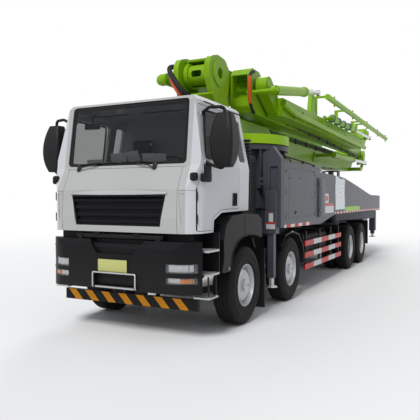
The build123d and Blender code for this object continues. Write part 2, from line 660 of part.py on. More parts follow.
def front_beam(side, name):
    """Sliding front beam with the upright leg housing on its outer end."""
    z = front_beam_z[name]
    x, y = front_leg[0], front_leg[1] * side
    pocket = front_tube + 4
    shape = along_beam(side, 0, 2400, 120, z, z + front_beam_h) + on_side(leg_housing(), side)
    return shape - block((x - pocket, y - pocket, 1100), (x + pocket, y + pocket, 1840))


def front_jack(side):
    """Square jack tube in the leg, with its foot pad."""
    x, y = front_leg[0], front_leg[1] * side
    tube = block((x - front_tube, y - front_tube, 470), (x + front_tube, y + front_tube, 1700))
    return tube + post(x, y, 40, 340, 480) + Pos(x, y, 335) * Cone(98, 70, 30)


def rear_arm(side):
    """Rear swing arm above the tandem's wheels, with the leg housing at its end."""
    (px, py), (lx, ly) = rear_pivot, rear_leg
    length = hypot(lx - px, ly - py)
    turn = degrees(atan2(ly - py, lx - px))
    beam = Pos(px, py, rear_arm_z + rear_arm_h / 2) * Rot(0, 0, turn) * Pos(length / 2, 0, 0) * Box(
        length, 200, rear_arm_h)
    beam = beam + post(px, py, 130, rear_arm_z, rear_arm_z + rear_arm_h)
    beam = beam - post(px, py, 60, 1100, 1500)
    outer, pocket = rear_tube + 34, rear_tube + 4
    beam = beam + block((lx - outer, ly - outer, 760), (lx + outer, ly + outer, 1375))
    beam = beam - block((lx - pocket, ly - pocket, 700), (lx + pocket, ly + pocket, 1340))
    return on_side(beam, side)


def rear_jack(side):
    """Jack tube of the rear leg, with its foot pad."""
    lx, ly = rear_leg
    tube = block((lx - rear_tube, ly - rear_tube, 660), (lx + rear_tube, ly + rear_tube, 1330))
    return on_side(tube + post(lx, ly, 40, 575, 670) + Pos(lx, ly, 572.5) * Cone(105, 75, 25), side)


# ------------------------------------------------------------------ boom
def turret():
    """Slewing ring, turret base and the two round-headed cheeks of the yoke, each with its hollow stub pin."""
    ax, az = pivot_a
    ring = Pos(ring_x, 0, ring_z + 90) * Cylinder(ring_r, 170)
    base = outline([(-3350, 2880), (-3350, 3000), (-3200, 3140), (-1420, 3140), (-1240, 3420), (-1330, 3640),
                    (-1330, 3860), (-1180, 4020), (-900, 4045), (-680, 3990), (-590, 3850), (-590, 3640),
                    (-700, 3440), (-900, 3100), (-1200, 2925), (-1500, 2880)])
    base = fillet([v for v in base.vertices() if hypot(v.X - ax, v.Y - az) < 440], 190)
    shape = ring
    for side in (1, -1):
        cheek = slab(base, *sorted((side * 232, side * 325)))
        cheek = cheek + drum(ax, az, 215, *sorted((side * 325, side * 350)))
        shape = shape + cheek
    shape = shape + block((-3350, -325, 2880), (-1500, 325, 2930))
    shape = shape + slab(outline([(-1110, 3000), (-1080, 2975), (-690, 3395), (-720, 3425)]), -325, 325)
    bx, bz = cylinders[1]["base"]
    shape = shape - drum(ax, az, 150, -400, 400)
    for side in (1, -1):
        stub = drum(ax, az, 150, *sorted((side * 118, side * 352)))
        shape = shape + (stub - drum(ax, az, 92, *sorted((side * 140, side * 400))))
    return shape + drum(bx, bz, 45, -325, 325)


def arm_1():
    """First arm: box root round a slotted cross tube in the yoke, gooseneck over the turret, long box to the rear fork."""
    ax, az = pivot_a
    bx, bz = pivot_b
    neck = outline([(ax + 110, az + 245), (-1500, 3985), (-2900, 3960), (-3700, 3500), (-4400, 3150), (-4400, 2600),
                    (-3900, 2600), (-3620, 2760), (-3560, 3100), (-2950, 3480), (-1450, 3530), (ax + 20, az - 215)])
    shape = slab(neck, -165, 165) + (slab(neck, -212, 212) & block((-1540, -212, 3400), (0, 212, 4100)))
    hollow = outline([(ax + 200, az + 215), (-1500, 3955), (-1900, 3950), (-1900, 3560), (-1450, 3560),
                      (ax + 200, az - 190)])
    shape = shape - slab(hollow, -135, 135) - (slab(hollow, -184, 184) & block((-1510, -184, 3400), (0, 184, 4100)))
    shape = shape + drum(ax, az, 205, -222, -150) + drum(ax, az, 205, 150, 222) + drum(ax, az, 172, -160, 160)
    shape = shape - drum(ax, az, 150 + pin_fit, -400, 400)
    slot = fillet(make_face(Polyline((-92, az - 52), (92, az - 52), (92, az + 52), (-92, az + 52), close=True)).vertices(), 40)
    shape = shape - extrude(Plane.YZ.offset(ax + 60) * slot, amount=200)
    box = slab(outline([(-4000, 2600), (-3800, 3000), (-4100, 3150), (bx + 600, 3110), (bx, bz - 60), (bx, 2980),
                        (bx + 400, 2640)]), *lane_1)
    shape = shape + box - drum(bx, bz, 250, 185, 600)
    shape = shape + drum(bx, bz, 190, lane_1[0], 170)
    ear = outline([(bx - 130, bz - 60), (bx - 40, 2890), (bx + 400, 2640), (bx + 620, 2640), (bx + 620, 2740),
                   (bx + 340, 2770), (bx + 120, 3000), (bx + 140, bz - 40)])
    foot = slab(outline([(bx + 400, 2645), (bx + 620, 2645), (bx + 620, 2740), (bx + 380, 2765)]), 250, 660)
    pin = drum(bx, bz, 80, 100, 662)
    ex, ez = cylinders[1]["eye"]
    lugs = [slab(outline([(ex - 150, 3530), (ex + 150, 3530), (ex + 60, ez - 60), (ex - 60, ez - 60)]),
                 *sorted((side * 90, side * 160))) for side in (1, -1)]
    qx, qz = cylinders[2]["base"]
    bracket = slab(outline([(qx - 220, 2700), (qx + 220, 2700), (qx + 60, qz + 90), (qx - 60, qz + 90)]), 285, 320)
    anchor = drum(qx, qz, 40, 250, cylinders[2]["y"] + 90)
    line = pipe([(ax, -750, az), (-1760, -750, az), (-1760, -250, az), (-2900, -250, 3690), (-3950, -345, 2960),
                 (bx + 700, -355, 2900)], 62, 120)
    dome = Polyline((0, -90), (100, -90), (100, 0), (80, 58), (40, 88), (0, 88), close=True)
    elbow = Pos(ax, -750, az) * Rot(180, 0, 0) * revolve(make_face(dome), axis=Axis.Y) + drum(ax, az, 75, -700, -610)
    elbow = elbow + drum(ax, az, 106, -652, -622)
    clips = [block((x - 30, -360, 2850), (x + 30, -280, 2950)) for x in (-4600, -6400, -8200, -10000)]
    return fuse(shape, drum(bx, bz, 150, 595, 660), slab(ear, 595, 660), foot, pin, bracket, anchor, line, elbow,
                *lugs, *clips)


def arm_2():
    """Second arm: eye on the rear pin, box along the left, raised head with the slotted cross tube."""
    bx, bz = pivot_b
    cx, cz = pivot_c
    box = outline([(bx - 20, bz - 150), (bx + 150, bz - 90), (bx + 420, 3200), (-3000, 3200), (-1700, 3240),
                   (-1640, 3330), (-1640, 3880), (-1760, 4000), (-2080, 3990), (-2700, 3600), (-9700, 3560),
                   (bx + 500, 3460), (bx, bz + 165)])
    box = fillet([v for v in box.vertices() if v.X > -1770 and v.Y > 3300], 60)
    low, high = lane_2
    shape = slab(box, low, high) + drum(bx, bz, 168, low, high)
    shape = shape - block((-1900, low + 40, 3480), (-1500, high - 40, 3870)) + drum(cx, cz, 125, low, high)
    slot = fillet(make_face(Polyline((low + 85, cz - 30), (high - 85, cz - 30), (high - 85, cz + 35), (low + 85, cz + 35),
                                     close=True)).vertices(), 28)
    shape = shape - extrude(Plane.YZ.offset(cx + 88) * slot, amount=100)
    ex, ez = cylinders[2]["eye"]
    crank = outline([(bx - 60, bz), (bx + 60, bz + 80), (ex + 75, ez + 40), (ex + 60, ez - 55), (ex - 60, ez - 55)])
    shape = shape + slab(crank, 500, 560) + drum(ex, ez, 38, 520, cylinders[2]["y"] - 48)
    shape = shape - drum(bx, bz, 80 + pin_fit, 0, 800)
    pin = drum(cx, cz, 85, 500, 830)
    px, pz = cylinders[3]["base"]
    anchor = drum(px, pz, 38, 500, 1060)
    return fuse(shape, pin, anchor)


def arm_3():
    """Third arm: eye on the head's pin, box on the outer left, tail eye for the cross tube of arm 4."""
    cx, cz = pivot_c
    dx, dz = pivot_d
    neck = outline([(cx + 60, cz - 140), (cx + 60, cz + 140), (cx - 80, cz + 160), (cx - 450, 3600), (cx - 450, 3260)])
    shape = slab(neck, 610, 800) + drum(cx, cz, 165, 610, 800)
    box = outline([(cx - 430, 3240), (cx - 430, 3560), (-9700, 3560), (dx + 80, dz + 150), (dx - 80, dz + 150),
                   (dx - 140, dz - 100), (-9900, 3300), (-9300, 3230)])
    shape = shape + slab(box, *lane_3) + drum(dx, dz, 165, *lane_3)
    shape = shape - drum(cx, cz, 85 + pin_fit, 0, 1200) - drum(dx, dz, 85, 0, 1200)
    qx, qz = cylinders[4]["base"]
    anchor = drum(qx, qz, 36, 880, cylinders[4]["y"] + 75)
    plate = slab(outline([(qx - 200, 3300), (qx + 200, 3300), (qx + 60, qz + 60), (qx - 60, qz + 60)]), 895, 940)
    ex, ez = cylinders[3]["eye"]
    mast = slab(outline([(ex - 200, 3540), (ex + 200, 3540), (ex + 70, ez + 70), (ex - 70, ez + 70)]), 800, 880)
    top = pipe([(-4400, 1187, 3900), (-6000, 1187, 3880), (tail_x, 1187, 3800)], 60, 200)
    low = pipe([(cx - 250, 965, 3440), (cx - 900, 968, 3340), (-9600, 968, 3280)], 58, 200)
    clips = []
    for x in (-4700, -6600, -8500, -9000):
        over = 3895 - (-4400 - x) * 0.012 + 50
        clips.append(block((x - 30, 800, 3480), (x + 30, 880, over + 40)) + block((x - 30, 800, over), (x + 30, 1187, over + 40)))
    for x in (-3000, -5000, -7400, -9400):
        clips.append(block((x - 30, 890, 3270), (x + 30, 968, 3330)))
    return fuse(shape, plate, anchor, mast, top, low, *clips)


def arm_4():
    """Fourth arm on the right: cross tube over arm 2 with the crank at its far end, slim box forward."""
    dx, dz = pivot_d
    ex, ez = pivot_e
    crank_y = lane_3[1] + 12
    tube = drum(dx, dz, 85 - pin_fit, lane_4[0], crank_y + 60)
    box = outline([(dx - 120, dz - 60), (dx - 60, dz + 120), (dx + 100, dz + 100), (-9500, 3450), (-2700, 3430),
                   (ex + 60, ez + 120), (ex + 140, ez - 60), (ex + 40, ez - 140), (-2900, 3130), (-9400, 3110)])
    shape = slab(box, *lane_4)
    eye = cylinders[4]["eye"]
    crank = outline([(dx - 95, dz), (dx, dz + 95), (eye[0] + 60, eye[1] + 20), (eye[0] + 10, eye[1] - 55),
                     (eye[0] - 60, eye[1] - 20)])
    shape = fuse(shape, tube, slab(crank, crank_y, crank_y + 60))
    shape = shape + drum(*eye, 36, crank_y, cylinders[4]["y"] - 48)
    px, pz = cylinders[5]["base"]
    shape = shape + slab(outline([(ex - 60, ez - 100), (ex + 100, ez), (px + 40, pz + 20), (px + 10, pz - 40),
                                  (ex + 20, ez - 150)]), *lane_4)
    shape = shape + drum(ex, ez, 58, lane_4[0] - 90, lane_4[1]) + drum(px, pz, 26, lane_5[0] - 125, lane_4[0] + 20)
    return shape + drum(ex, ez, 58, lane_5[0], lane_4[0])


def arm_5():
    """Last arm on the far right: eye on arm 4's pin, box back to the tip, its pipe and the cylinder's bracket."""
    ex, ez = pivot_e
    neck = outline([(ex + 50, ez - 110), (ex + 50, ez + 110), (ex - 80, ez + 120), (ex - 450, 3440), (ex - 450, 3190)])
    shape = slab(neck, *lane_5) + drum(ex, ez, 120, *lane_5)
    box = outline([(ex - 430, 3180), (ex - 430, 3440), (arm_tip_x, 3420), (arm_tip_x, 3310), (-8000, 3215)])
    shape = shape + slab(box, *lane_5) - drum(ex, ez, 58 + pin_fit, -1200, 0)
    qx, qz = cylinders[5]["eye"]
    bracket = slab(outline([(qx - 160, 3400), (qx + 160, 3400), (qx + 55, qz + 55), (qx - 55, qz + 55)]),
                   lane_5[0], lane_5[0] + 60)
    line = pipe([(ex - 300, end_pipe_y, 3190), (ex - 900, end_pipe_y, 3180), (-7000, end_pipe_y, 3230),
                 (arm_tip_x + 900, end_pipe_y, 3350), (arm_tip_x - 60, end_pipe_y, 3350)], end_pipe_r, 200)
    clips = [block((x - 25, end_pipe_y, z), (x + 25, lane_5[0] + 10, z + 60))
             for x, z in ((-3600, 3190), (-5400, 3195), (-7600, 3225), (-9800, 3270))]
    return fuse(shape, bracket, line, *clips)


def cylinder_line(number):
    """Start, unit direction and length of a boom cylinder at rest."""
    data = cylinders[number]
    (bx, bz), (ex, ez) = data["base"], data["eye"]
    length = hypot(ex - bx, ez - bz)
    return bx, bz, (ex - bx) / length, (ez - bz) / length, length


rod_back = {3: 569, 5: 565}        # how far a rod draws in as its arm unfolds
pin_radius = {1: 45, 2: 40, 3: 38, 4: 36, 5: 26}


def barrel(number):
    """Cylinder barrel with its base eye, gland ring and the bore its rod runs in."""
    data = cylinders[number]
    bx, bz, ux, uz, length = cylinder_line(number)
    y, bore, rod, tube = data["y"], data["bore"], data["rod"], data["tube"]
    eye_r = pin_radius[number] + 28
    point = lambda s: (bx + ux * s, y, bz + uz * s)
    half = bore * 0.42
    shape = fuse(bar(point(eye_r - 5), point(tube), bore), drum(bx, bz, eye_r, y - half, y + half),
                 bar(point(tube - 90), point(tube), bore + 12))
    shape = shape - bar(point(eye_r + 60), point(tube + 10), rod + 4)
    return shape - drum(bx, bz, pin_radius[number] + pin_fit, y - 200, y + 200)


def rod(number):
    """Cylinder rod with the eye that meets the next arm."""
    data = cylinders[number]
    bx, bz, ux, uz, length = cylinder_line(number)
    y, bore, radius = data["y"], data["bore"], data["rod"]
    eye_r = radius + 24
    half = 80 if number == 1 else 30
    point = lambda s: (bx + ux * s, y, bz + uz * s)
    start = pin_radius[number] + 60 + rod_back.get(number, 0)
    shape = bar(point(start + 40), point(length - eye_r + 10), radius)
    return shape + drum(*data["eye"], eye_r, y - half, y + half)


# ------------------------------------------------------------------ write every node
save("frame_rails", *frame_rails())
save("front_axle_beams", *front_axle_beams())
save("driveline", engine_block(), *rear_axle_housings())
save("cab_shell", cab_shell())
save("windows_and_lamps", *cab_windows(), *lamps())
save("cab_interior", *cab_interior())
save("bumper", bumper(), underrun(), grille())
save("fenders", *fenders())
save("side_guards", *side_guards())
save("deck_covers", *deck_covers())
save("subframe", subframe(), boom_rest())
save("hopper", hopper())
save("hopper_grate", hopper_grate())
save("tanks", *tanks())
for name, side in sides.items():
    save(f"{name}_door", door(side))
    for axle in (1, 2):
        save(f"{name}_knuckle_{axle}", knuckle(axle, side))
    for axle in (1, 2, 3, 4):
        rubber, steel = wheel(axle, side)
        save(f"{name}_tyre_{axle}", *rubber)
        save(f"{name}_rim_{axle}", steel)
    save(f"{name}_front_outrigger", front_beam(side, name))
    save(f"{name}_front_jack", front_jack(side))
    save(f"{name}_rear_outrigger", rear_arm(side))
    save(f"{name}_rear_jack", rear_jack(side))
save("turret", turret())
for number, arm in enumerate((arm_1, arm_2, arm_3, arm_4, arm_5), start=1):
    save(f"arm_{number}", arm())
    save(f"arm_{number}_barrel", barrel(number))
    save(f"arm_{number}_rod", rod(number))
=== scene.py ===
import math
import bpy
from mathutils import Matrix, Vector


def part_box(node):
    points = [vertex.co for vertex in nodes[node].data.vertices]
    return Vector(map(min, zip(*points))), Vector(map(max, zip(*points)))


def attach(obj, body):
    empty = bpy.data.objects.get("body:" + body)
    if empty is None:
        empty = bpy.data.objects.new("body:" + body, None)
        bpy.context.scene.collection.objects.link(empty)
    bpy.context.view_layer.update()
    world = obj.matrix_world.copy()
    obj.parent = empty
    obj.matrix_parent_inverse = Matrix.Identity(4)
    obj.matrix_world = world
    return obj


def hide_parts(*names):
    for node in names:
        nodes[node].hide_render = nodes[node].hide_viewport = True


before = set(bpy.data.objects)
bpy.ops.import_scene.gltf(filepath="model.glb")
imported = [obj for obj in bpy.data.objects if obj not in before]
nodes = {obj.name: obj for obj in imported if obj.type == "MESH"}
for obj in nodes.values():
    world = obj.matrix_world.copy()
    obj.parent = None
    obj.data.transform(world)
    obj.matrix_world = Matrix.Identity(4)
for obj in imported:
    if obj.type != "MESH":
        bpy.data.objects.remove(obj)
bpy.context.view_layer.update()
bpy.ops.object.select_all(action="DESELECT")
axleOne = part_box("bumper")[1].x - 1.43    # station of the first axle


def at(x, y, z):
    return Vector((x + axleOne, y, z))


viewer = {"place": at(6.767, 4.082, 1.738), "heading": 206.98, "pitch": -1.21, "lens": 45.4}
bpy.ops.object.camera_add(location=viewer["place"])
camera = bpy.context.object
camera.rotation_euler = (math.radians(90 + viewer["pitch"]), 0, math.radians(viewer["heading"] - 90))
camera.data.lens = viewer["lens"]
camera.data.sensor_width = 36
camera.data.clip_end = 500
bpy.context.scene.camera = camera
bpy.context.scene.view_settings.view_transform = "Standard"


def seenWhite(nodeTree, plain, surface):
    # a camera, glossy or transmission ray meets plain white; every other ray meets the real surface
    new, link = nodeTree.nodes.new, nodeTree.links.new
    path = new("ShaderNodeLightPath")
    seen = path.outputs["Is Camera Ray"]
    for kind in ("Is Glossy Ray", "Is Transmission Ray"):
        either = new("ShaderNodeMath")
        either.operation = "MAXIMUM"
        link(seen, either.inputs[0])
        link(path.outputs[kind], either.inputs[1])
        seen = either.outputs[0]
    mix = new("ShaderNodeMixShader")
    for source, socket in zip((seen, surface, plain), mix.inputs):
        link(source, socket)
    return mix.outputs[0]


studio = {"sky": 0.42, "key": 1.9, "soft": 0.6}
world = bpy.data.worlds.new("studio")
bpy.context.scene.world = world
world.use_nodes = True
tree = world.node_tree
sky = tree.nodes["Background"]
sky.inputs["Color"].default_value = (0.93, 0.96, 1.0, 1)
sky.inputs["Strength"].default_value = studio["sky"]
white = tree.nodes.new("ShaderNodeBackground")
white.inputs["Color"].default_value = (1, 1, 1, 1)
white.inputs["Strength"].default_value = 1.0
seen = seenWhite(tree, white.outputs[0], sky.outputs[0])
tree.links.new(seen, tree.nodes["World Output"].inputs["Surface"])
for energy, lean in ((studio["key"], (40, 14, 75)), (studio["soft"], (55, -10, -60))):
    bpy.ops.object.light_add(type="SUN", rotation=[math.radians(a) for a in lean])
    bpy.context.object.data.energy = energy
    bpy.context.object.data.angle = math.radians(20)

bpy.ops.mesh.primitive_plane_add(size=120, location=(0, 0, -0.002))
floor = bpy.context.object
floor.name = "floor"
floorPaint = bpy.data.materials.new("floor pale")
floorPaint.use_nodes = True
tree = floorPaint.node_tree
base = tree.nodes["Principled BSDF"]
base.inputs["Base Color"].default_value = (0.95, 0.95, 0.95, 1)
base.inputs["Roughness"].default_value = 1.0
base.inputs["Specular IOR Level"].default_value = 0.0
place = tree.nodes.new("ShaderNodeTexCoord")
away = tree.nodes.new("ShaderNodeVectorMath")
away.operation = "LENGTH"
tree.links.new(place.outputs["Object"], away.inputs[0])
fade = tree.nodes.new("ShaderNodeMapRange")    # the floor thins out to the white background
fade.interpolation_type = "SMOOTHSTEP"
for name, value in (("From Min", 6.0), ("From Max", 17.0), ("To Min", 1.0), ("To Max", 0.0)):
    fade.inputs[name].default_value = value
tree.links.new(away.outputs["Value"], fade.inputs["Value"])
tree.links.new(fade.outputs[0], base.inputs["Alpha"])
floor.data.materials.append(floorPaint)
print("camera, light and floor ready")


def tone(color, amount):
    return tuple(min(1, max(0, c * amount)) for c in color[:3]) + (1,)


def mathNode(tree, operation, first, second):
    node = tree.nodes.new("ShaderNodeMath")
    node.operation = operation
    for socket, value in zip(node.inputs, (first, second)):
        if isinstance(value, (int, float)):
            socket.default_value = value
        elif value is not None:
            tree.links.new(value, socket)
    return node.outputs[0]


def zoneMask(tree, parts, zone):
    # 1 inside a box of stations, 0 outside; a band repeats along one axis and may slant along another
    mask = None
    tests = [(parts[axis], how, edge) for axis, limits in zone["where"].items()
             for how, edge in zip(("GREATER_THAN", "LESS_THAN"), limits) if edge is not None]
    if "band" in zone:
        band = zone["band"]
        run = parts[band["axis"]]
        if "slant" in band:
            axis, lean = band["slant"]
            run = mathNode(tree, "ADD", run, mathNode(tree, "MULTIPLY", parts[axis], lean))
        run = mathNode(tree, "DIVIDE", mathNode(tree, "SUBTRACT", run, band["start"]), band["period"])
        tests.append((mathNode(tree, "FRACT", run, None), "LESS_THAN", band.get("share", 0.5)))
    for source, how, edge in tests:
        inside = mathNode(tree, how, source, edge)
        mask = inside if mask is None else mathNode(tree, "MULTIPLY", mask, inside)
    return mask


def objectParts(tree):
    # Object coordinates, whole and as x, y, z and the distance from the middle plane
    place = tree.nodes.new("ShaderNodeTexCoord").outputs["Object"]
    apart = tree.nodes.new("ShaderNodeSeparateXYZ")
    tree.links.new(place, apart.inputs[0])
    parts = {axis.lower(): apart.outputs[axis] for axis in "XYZ"}
    parts["side"] = mathNode(tree, "ABSOLUTE", parts["y"], None)
    return place, parts


def noise(tree, place, scale, detail=2.0):
    node = tree.nodes.new("ShaderNodeTexNoise")
    node.inputs["Scale"].default_value = scale
    node.inputs["Detail"].default_value = detail
    tree.links.new(place, node.inputs["Vector"])
    return node.outputs["Fac"]


def mottled(tree, source, color, spread, reach):
    # a colour that a noise makes a little darker and lighter
    ramp = tree.nodes.new("ShaderNodeValToRGB")
    for stop, position, amount in zip(ramp.color_ramp.elements, reach, (1 - spread, 1 + spread)):
        stop.position = position
        stop.color = tone(color, amount)
    tree.links.new(source, ramp.inputs["Fac"])
    return ramp.outputs["Color"]


def mixed(tree, share, first, second):
    # two colours; the second is a socket or a constant
    mix = tree.nodes.new("ShaderNodeMix")
    mix.data_type = "RGBA"
    tree.links.new(share, mix.inputs["Factor"])
    tree.links.new(first, mix.inputs["A"])
    if isinstance(second, tuple):
        mix.inputs["B"].default_value = second
    else:
        tree.links.new(second, mix.inputs["B"])
    return mix.outputs["Result"]


def ranged(tree, source, limits):
    node = tree.nodes.new("ShaderNodeMapRange")
    for socket, value in limits.items():
        node.inputs[socket].default_value = value
    tree.links.new(source, node.inputs["Value"])
    return node.outputs[0]


def blank(name):
    material = bpy.data.materials.new(name)
    material.use_nodes = True
    return material, material.node_tree, material.node_tree.nodes["Principled BSDF"]


def finish(name, color, roughness, metallic=0.0, grain=40.0, spread=0.12, relief=0.0, dust=0.0, coat=0.0,
           sheen=0.5, zones=()):
    # paint, rubber or metal: mottled colour, uneven gloss, fine relief, dust towards the ground, zones
    material, tree, shader = blank(name)
    link = tree.links.new
    shader.inputs["Coat Weight"].default_value = coat
    shader.inputs["Specular IOR Level"].default_value = sheen
    shader.inputs["Coat Roughness"].default_value = 0.12
    shader.inputs["Metallic"].default_value = metallic
    place, parts = objectParts(tree)
    broad = noise(tree, place, 1.6, 6)
    fine = noise(tree, place, grain, 3)
    reach = (0.3, 0.72)
    last = mottled(tree, broad, color, spread, reach)
    metal, rough = None, roughness
    for zone in zones:
        mask = zoneMask(tree, parts, zone)
        last = mixed(tree, mask, last, mottled(tree, broad, zone["color"], zone.get("spread", spread), reach))
        if "metallic" in zone:
            step = mathNode(tree, "MULTIPLY", mask, zone["metallic"] - metallic)
            metal = mathNode(tree, "ADD", metallic if metal is None else metal, step)
        if "roughness" in zone:
            step = mathNode(tree, "MULTIPLY", mask, zone["roughness"] - roughness)
            rough = mathNode(tree, "ADD", rough, step)
    if metal is not None:
        link(metal, shader.inputs["Metallic"])
    if dust:
        low = ranged(tree, parts["z"], {"From Max": 1.3, "To Min": dust, "To Max": 0.0})
        last = mixed(tree, mathNode(tree, "MULTIPLY", low, fine), last, (0.33, 0.31, 0.28, 1))
    link(last, shader.inputs["Base Color"])
    uneven = ranged(tree, fine, {"To Min": -0.06, "To Max": 0.1})
    link(mathNode(tree, "ADD", rough, uneven), shader.inputs["Roughness"])
    if relief:
        bump = tree.nodes.new("ShaderNodeBump")
        bump.inputs["Strength"].default_value = 0.6
        bump.inputs["Distance"].default_value = relief
        link(fine, bump.inputs["Height"])
        link(bump.outputs["Normal"], shader.inputs["Normal"])
    return material


def glassFinish(name, color, alpha, zones=()):
    # tinted glass; a zone has its own colour and how much of it shows
    material, tree, shader = blank(name)
    shader.inputs["Roughness"].default_value = 0.04
    shader.inputs["Specular IOR Level"].default_value = 0.22
    shader.inputs["Alpha"].default_value = alpha
    place, parts = objectParts(tree)
    haze = noise(tree, place, 2.5)
    spread, reach = 0.15, (0.0, 1.0)
    last, seen = mottled(tree, haze, color, spread, reach), alpha
    for zone in zones:
        mask = zoneMask(tree, parts, zone)
        last = mixed(tree, mask, last, mottled(tree, haze, zone["color"], spread, reach))
        seen = mathNode(tree, "ADD", seen, mathNode(tree, "MULTIPLY", mask, zone["alpha"] - alpha))
    if zones:
        tree.links.new(seen, shader.inputs["Alpha"])
    tree.links.new(last, shader.inputs["Base Color"])
    return material


def span(low, high):
    return (low + axleOne, high + axleOne)


black = {"color": (0.011, 0.011, 0.012), "roughness": 0.45, "metallic": 0.0, "spread": 0.1}
bright = {"color": (0.5, 0.51, 0.52), "roughness": 0.3, "metallic": 0.8, "spread": 0.06}
red = {"color": (0.56, 0.012, 0.012), "roughness": 0.45, "spread": 0.08}
pale = {"color": (0.68, 0.68, 0.68), "roughness": 0.32, "spread": 0.04}
silverFlap = {"color": (0.46, 0.46, 0.455), "roughness": 0.3, "spread": 0.03}

cabWhite = finish("cab white", (0.62, 0.635, 0.66), 0.28, grain=60, spread=0.03, coat=0.25, dust=0.12, zones=(
    dict(silverFlap, where={"x": span(1.05, 1.5), "side": (None, 0.984), "z": (None, 3.05)}),))
doorWhite = finish("door white", (0.64, 0.655, 0.68), 0.3, grain=60, spread=0.03, dust=0.12, sheen=0.18,
                   zones=(
    dict(black, where={"side": (1.148, None)}),
    dict(black, where={"side": (1.036, None), "z": (2.77, None)}),
    dict(black, where={"side": (1.137, None), "z": (2.02, 2.155), "x": span(1.0, 1.16)}),
    dict(black, where={"side": (1.105, None), "z": (1.64, 1.816), "x": span(0.16, 0.32)}),
    dict(black, where={"side": (1.05, None), "x": span(1.2305, 1.26)})))
darkGrey = {"color": (0.070, 0.075, 0.094), "roughness": 0.4, "sheen": 0.2, "grain": 80, "spread": 0.08,
            "relief": 0.0004}
deckGrey = finish("deck grey", **darkGrey, dust=0.1)
coverSkin = 1.2445


def onCover(low, high, bottom, top):
    # a stretch of the covers' outer faces
    return {"x": span(low, high), "side": (coverSkin, None), "z": (bottom, top)}


frontFoot, rearFoot = onCover(-3.05, -1.47, None, 1.31), onCover(-10.7, -4.88, None, 1.445)
coverGrey = finish("cover grey", (0.078, 0.083, 0.102), 0.36, sheen=0.2, grain=80, spread=0.06, relief=0.0003,
                   dust=0.08, zones=(
    dict(pale, where=frontFoot),
    dict(red, where=frontFoot, band={"axis": "x", "start": axleOne - 0.05, "period": 0.44}),
    dict(pale, where=rearFoot),
    dict(red, where=rearFoot, band={"axis": "x", "start": axleOne, "period": 0.30}),
    dict(black, where=onCover(-10.7, -4.88, None, 1.405)),
    dict(color=(0.33, 0.62, 0.05), where=onCover(-7.56, -5.85, 1.447, 1.55)),
    dict(color=(0.42, 0.66, 0.06), where={"side": (coverSkin, None), "z": (1.447, 1.83)},
         band={"axis": "x", "start": axleOne - 10.03, "period": 30.0, "share": 0.0022,
               "slant": ("z", 0.95)})))
greenPaint = {"color": (0.235, 0.445, 0.006), "roughness": 0.34, "grain": 50, "relief": 0.0003, "sheen": 0.2}
boomGreen = finish("boom green", **greenPaint)
# the turret's band from z 2.70 to 2.91 is a lighter copy of the boom green: a painted highlight where that
# face is lit
ringGreenPaintedHighlight = finish("turret green painted highlight", **greenPaint, zones=(
    dict(color=(0.36, 0.64, 0.012), spread=0.06, where={"z": (2.70, 2.91)}),))
chassisBlack = finish("chassis black", (0.008, 0.008, 0.009), 0.55, sheen=0.12, grain=70, spread=0.25,
                      relief=0.0008, dust=0.18)
bumperBlack = finish("bumper black", (0.0055, 0.0058, 0.0072), 0.42, sheen=0.11, grain=220, relief=0.0003,
                     dust=0.12, zones=(
    dict(bright, where={"x": span(1.3968, 1.5), "side": (None, 0.35), "z": (0.59, 0.83)}),
    dict(bright, where={"x": span(1.35, 1.41), "side": (None, 0.301), "z": (0.610, 0.634)}),
    dict(color=(0.006, 0.006, 0.007), roughness=0.35, where={"x": span(1.05, 1.13), "z": (0.355, 0.505)}),
    dict(color=(0.90, 0.34, 0.008), roughness=0.4, spread=0.05,
         where={"x": span(1.05, 1.13), "y": (-0.985, 0.94), "z": (0.365, 0.498)},
         band={"axis": "y", "start": -0.533, "period": 0.277, "share": 0.44, "slant": ("z", 0.91)})))
fenderBlack = finish("arch black", (0.0065, 0.007, 0.0085), 0.42, sheen=0.14, grain=200, spread=0.14,
                     relief=0.0004, dust=0.2, zones=tuple(
    dict(bright, where={"x": span(0.86, 1.17), "side": (0.957, None), "z": (z, z + 0.03)})
    for z in (1.089, 0.802, 0.519)))
wheelSilver = finish("wheel silver", (0.52, 0.53, 0.55), 0.36, 0.55, grain=60, spread=0.07, dust=0.25)
tyreRubber = finish("tyre rubber", (0.0085, 0.0085, 0.009), 0.72, grain=130, spread=0.25, relief=0.0006,
                    dust=0.07, sheen=0.14)
trimGrey = finish("cab trim", (0.022, 0.023, 0.026), 0.6, sheen=0.2, grain=200, spread=0.15, relief=0.0004,
                  zones=(
    dict(color=(0.10, 0.10, 0.11), where={"x": span(-0.2, 0.62), "z": (1.68, None)}),))
jackGrey = finish("jack grey", (0.075, 0.08, 0.10), 0.33, sheen=0.3, grain=90, spread=0.1, zones=(
    dict(bright, where={"z": (None, 0.47)}),))
rearJackGrey = finish("rear jack grey", (0.07, 0.075, 0.095), 0.33, sheen=0.3, grain=90, spread=0.1, zones=(
    dict(bright, where={"z": (None, 0.66)}),))
chrome = finish("rod chrome", (0.5, 0.52, 0.55), 0.16, metallic=1.0, grain=90, spread=0.05)
guardPaint = finish("guard rails", (0.008, 0.008, 0.009), 0.5, sheen=0.12, grain=60, spread=0.1, dust=0.2,
                    zones=(
    dict(pale, where={"side": (1.1765, None)}),
    dict(red, where={"side": (1.1765, None)}, band={"axis": "x", "start": axleOne - 3.358, "period": 1.136})))
armGrey = finish("swing arm grey", **darkGrey)
painted = {"color": (0.006, 0.006, 0.007), "alpha": 1.0}
screen = span(1.0, 1.3)
glassTint = glassFinish("window glass", (0.006, 0.012, 0.012), 0.34, zones=(
    dict(painted, where={"x": screen, "side": (None, 0.866), "z": (2.0, 2.205)}),
    dict(painted, where={"x": screen, "side": (None, 0.866), "z": (2.925, 3.1)}),
    dict(painted, where={"x": screen, "side": (0.866, None), "z": (2.0, 3.1)}),
    dict(color=(0.5, 0.52, 0.54), alpha=0.14, where={"z": (0.6, 1.1)})))
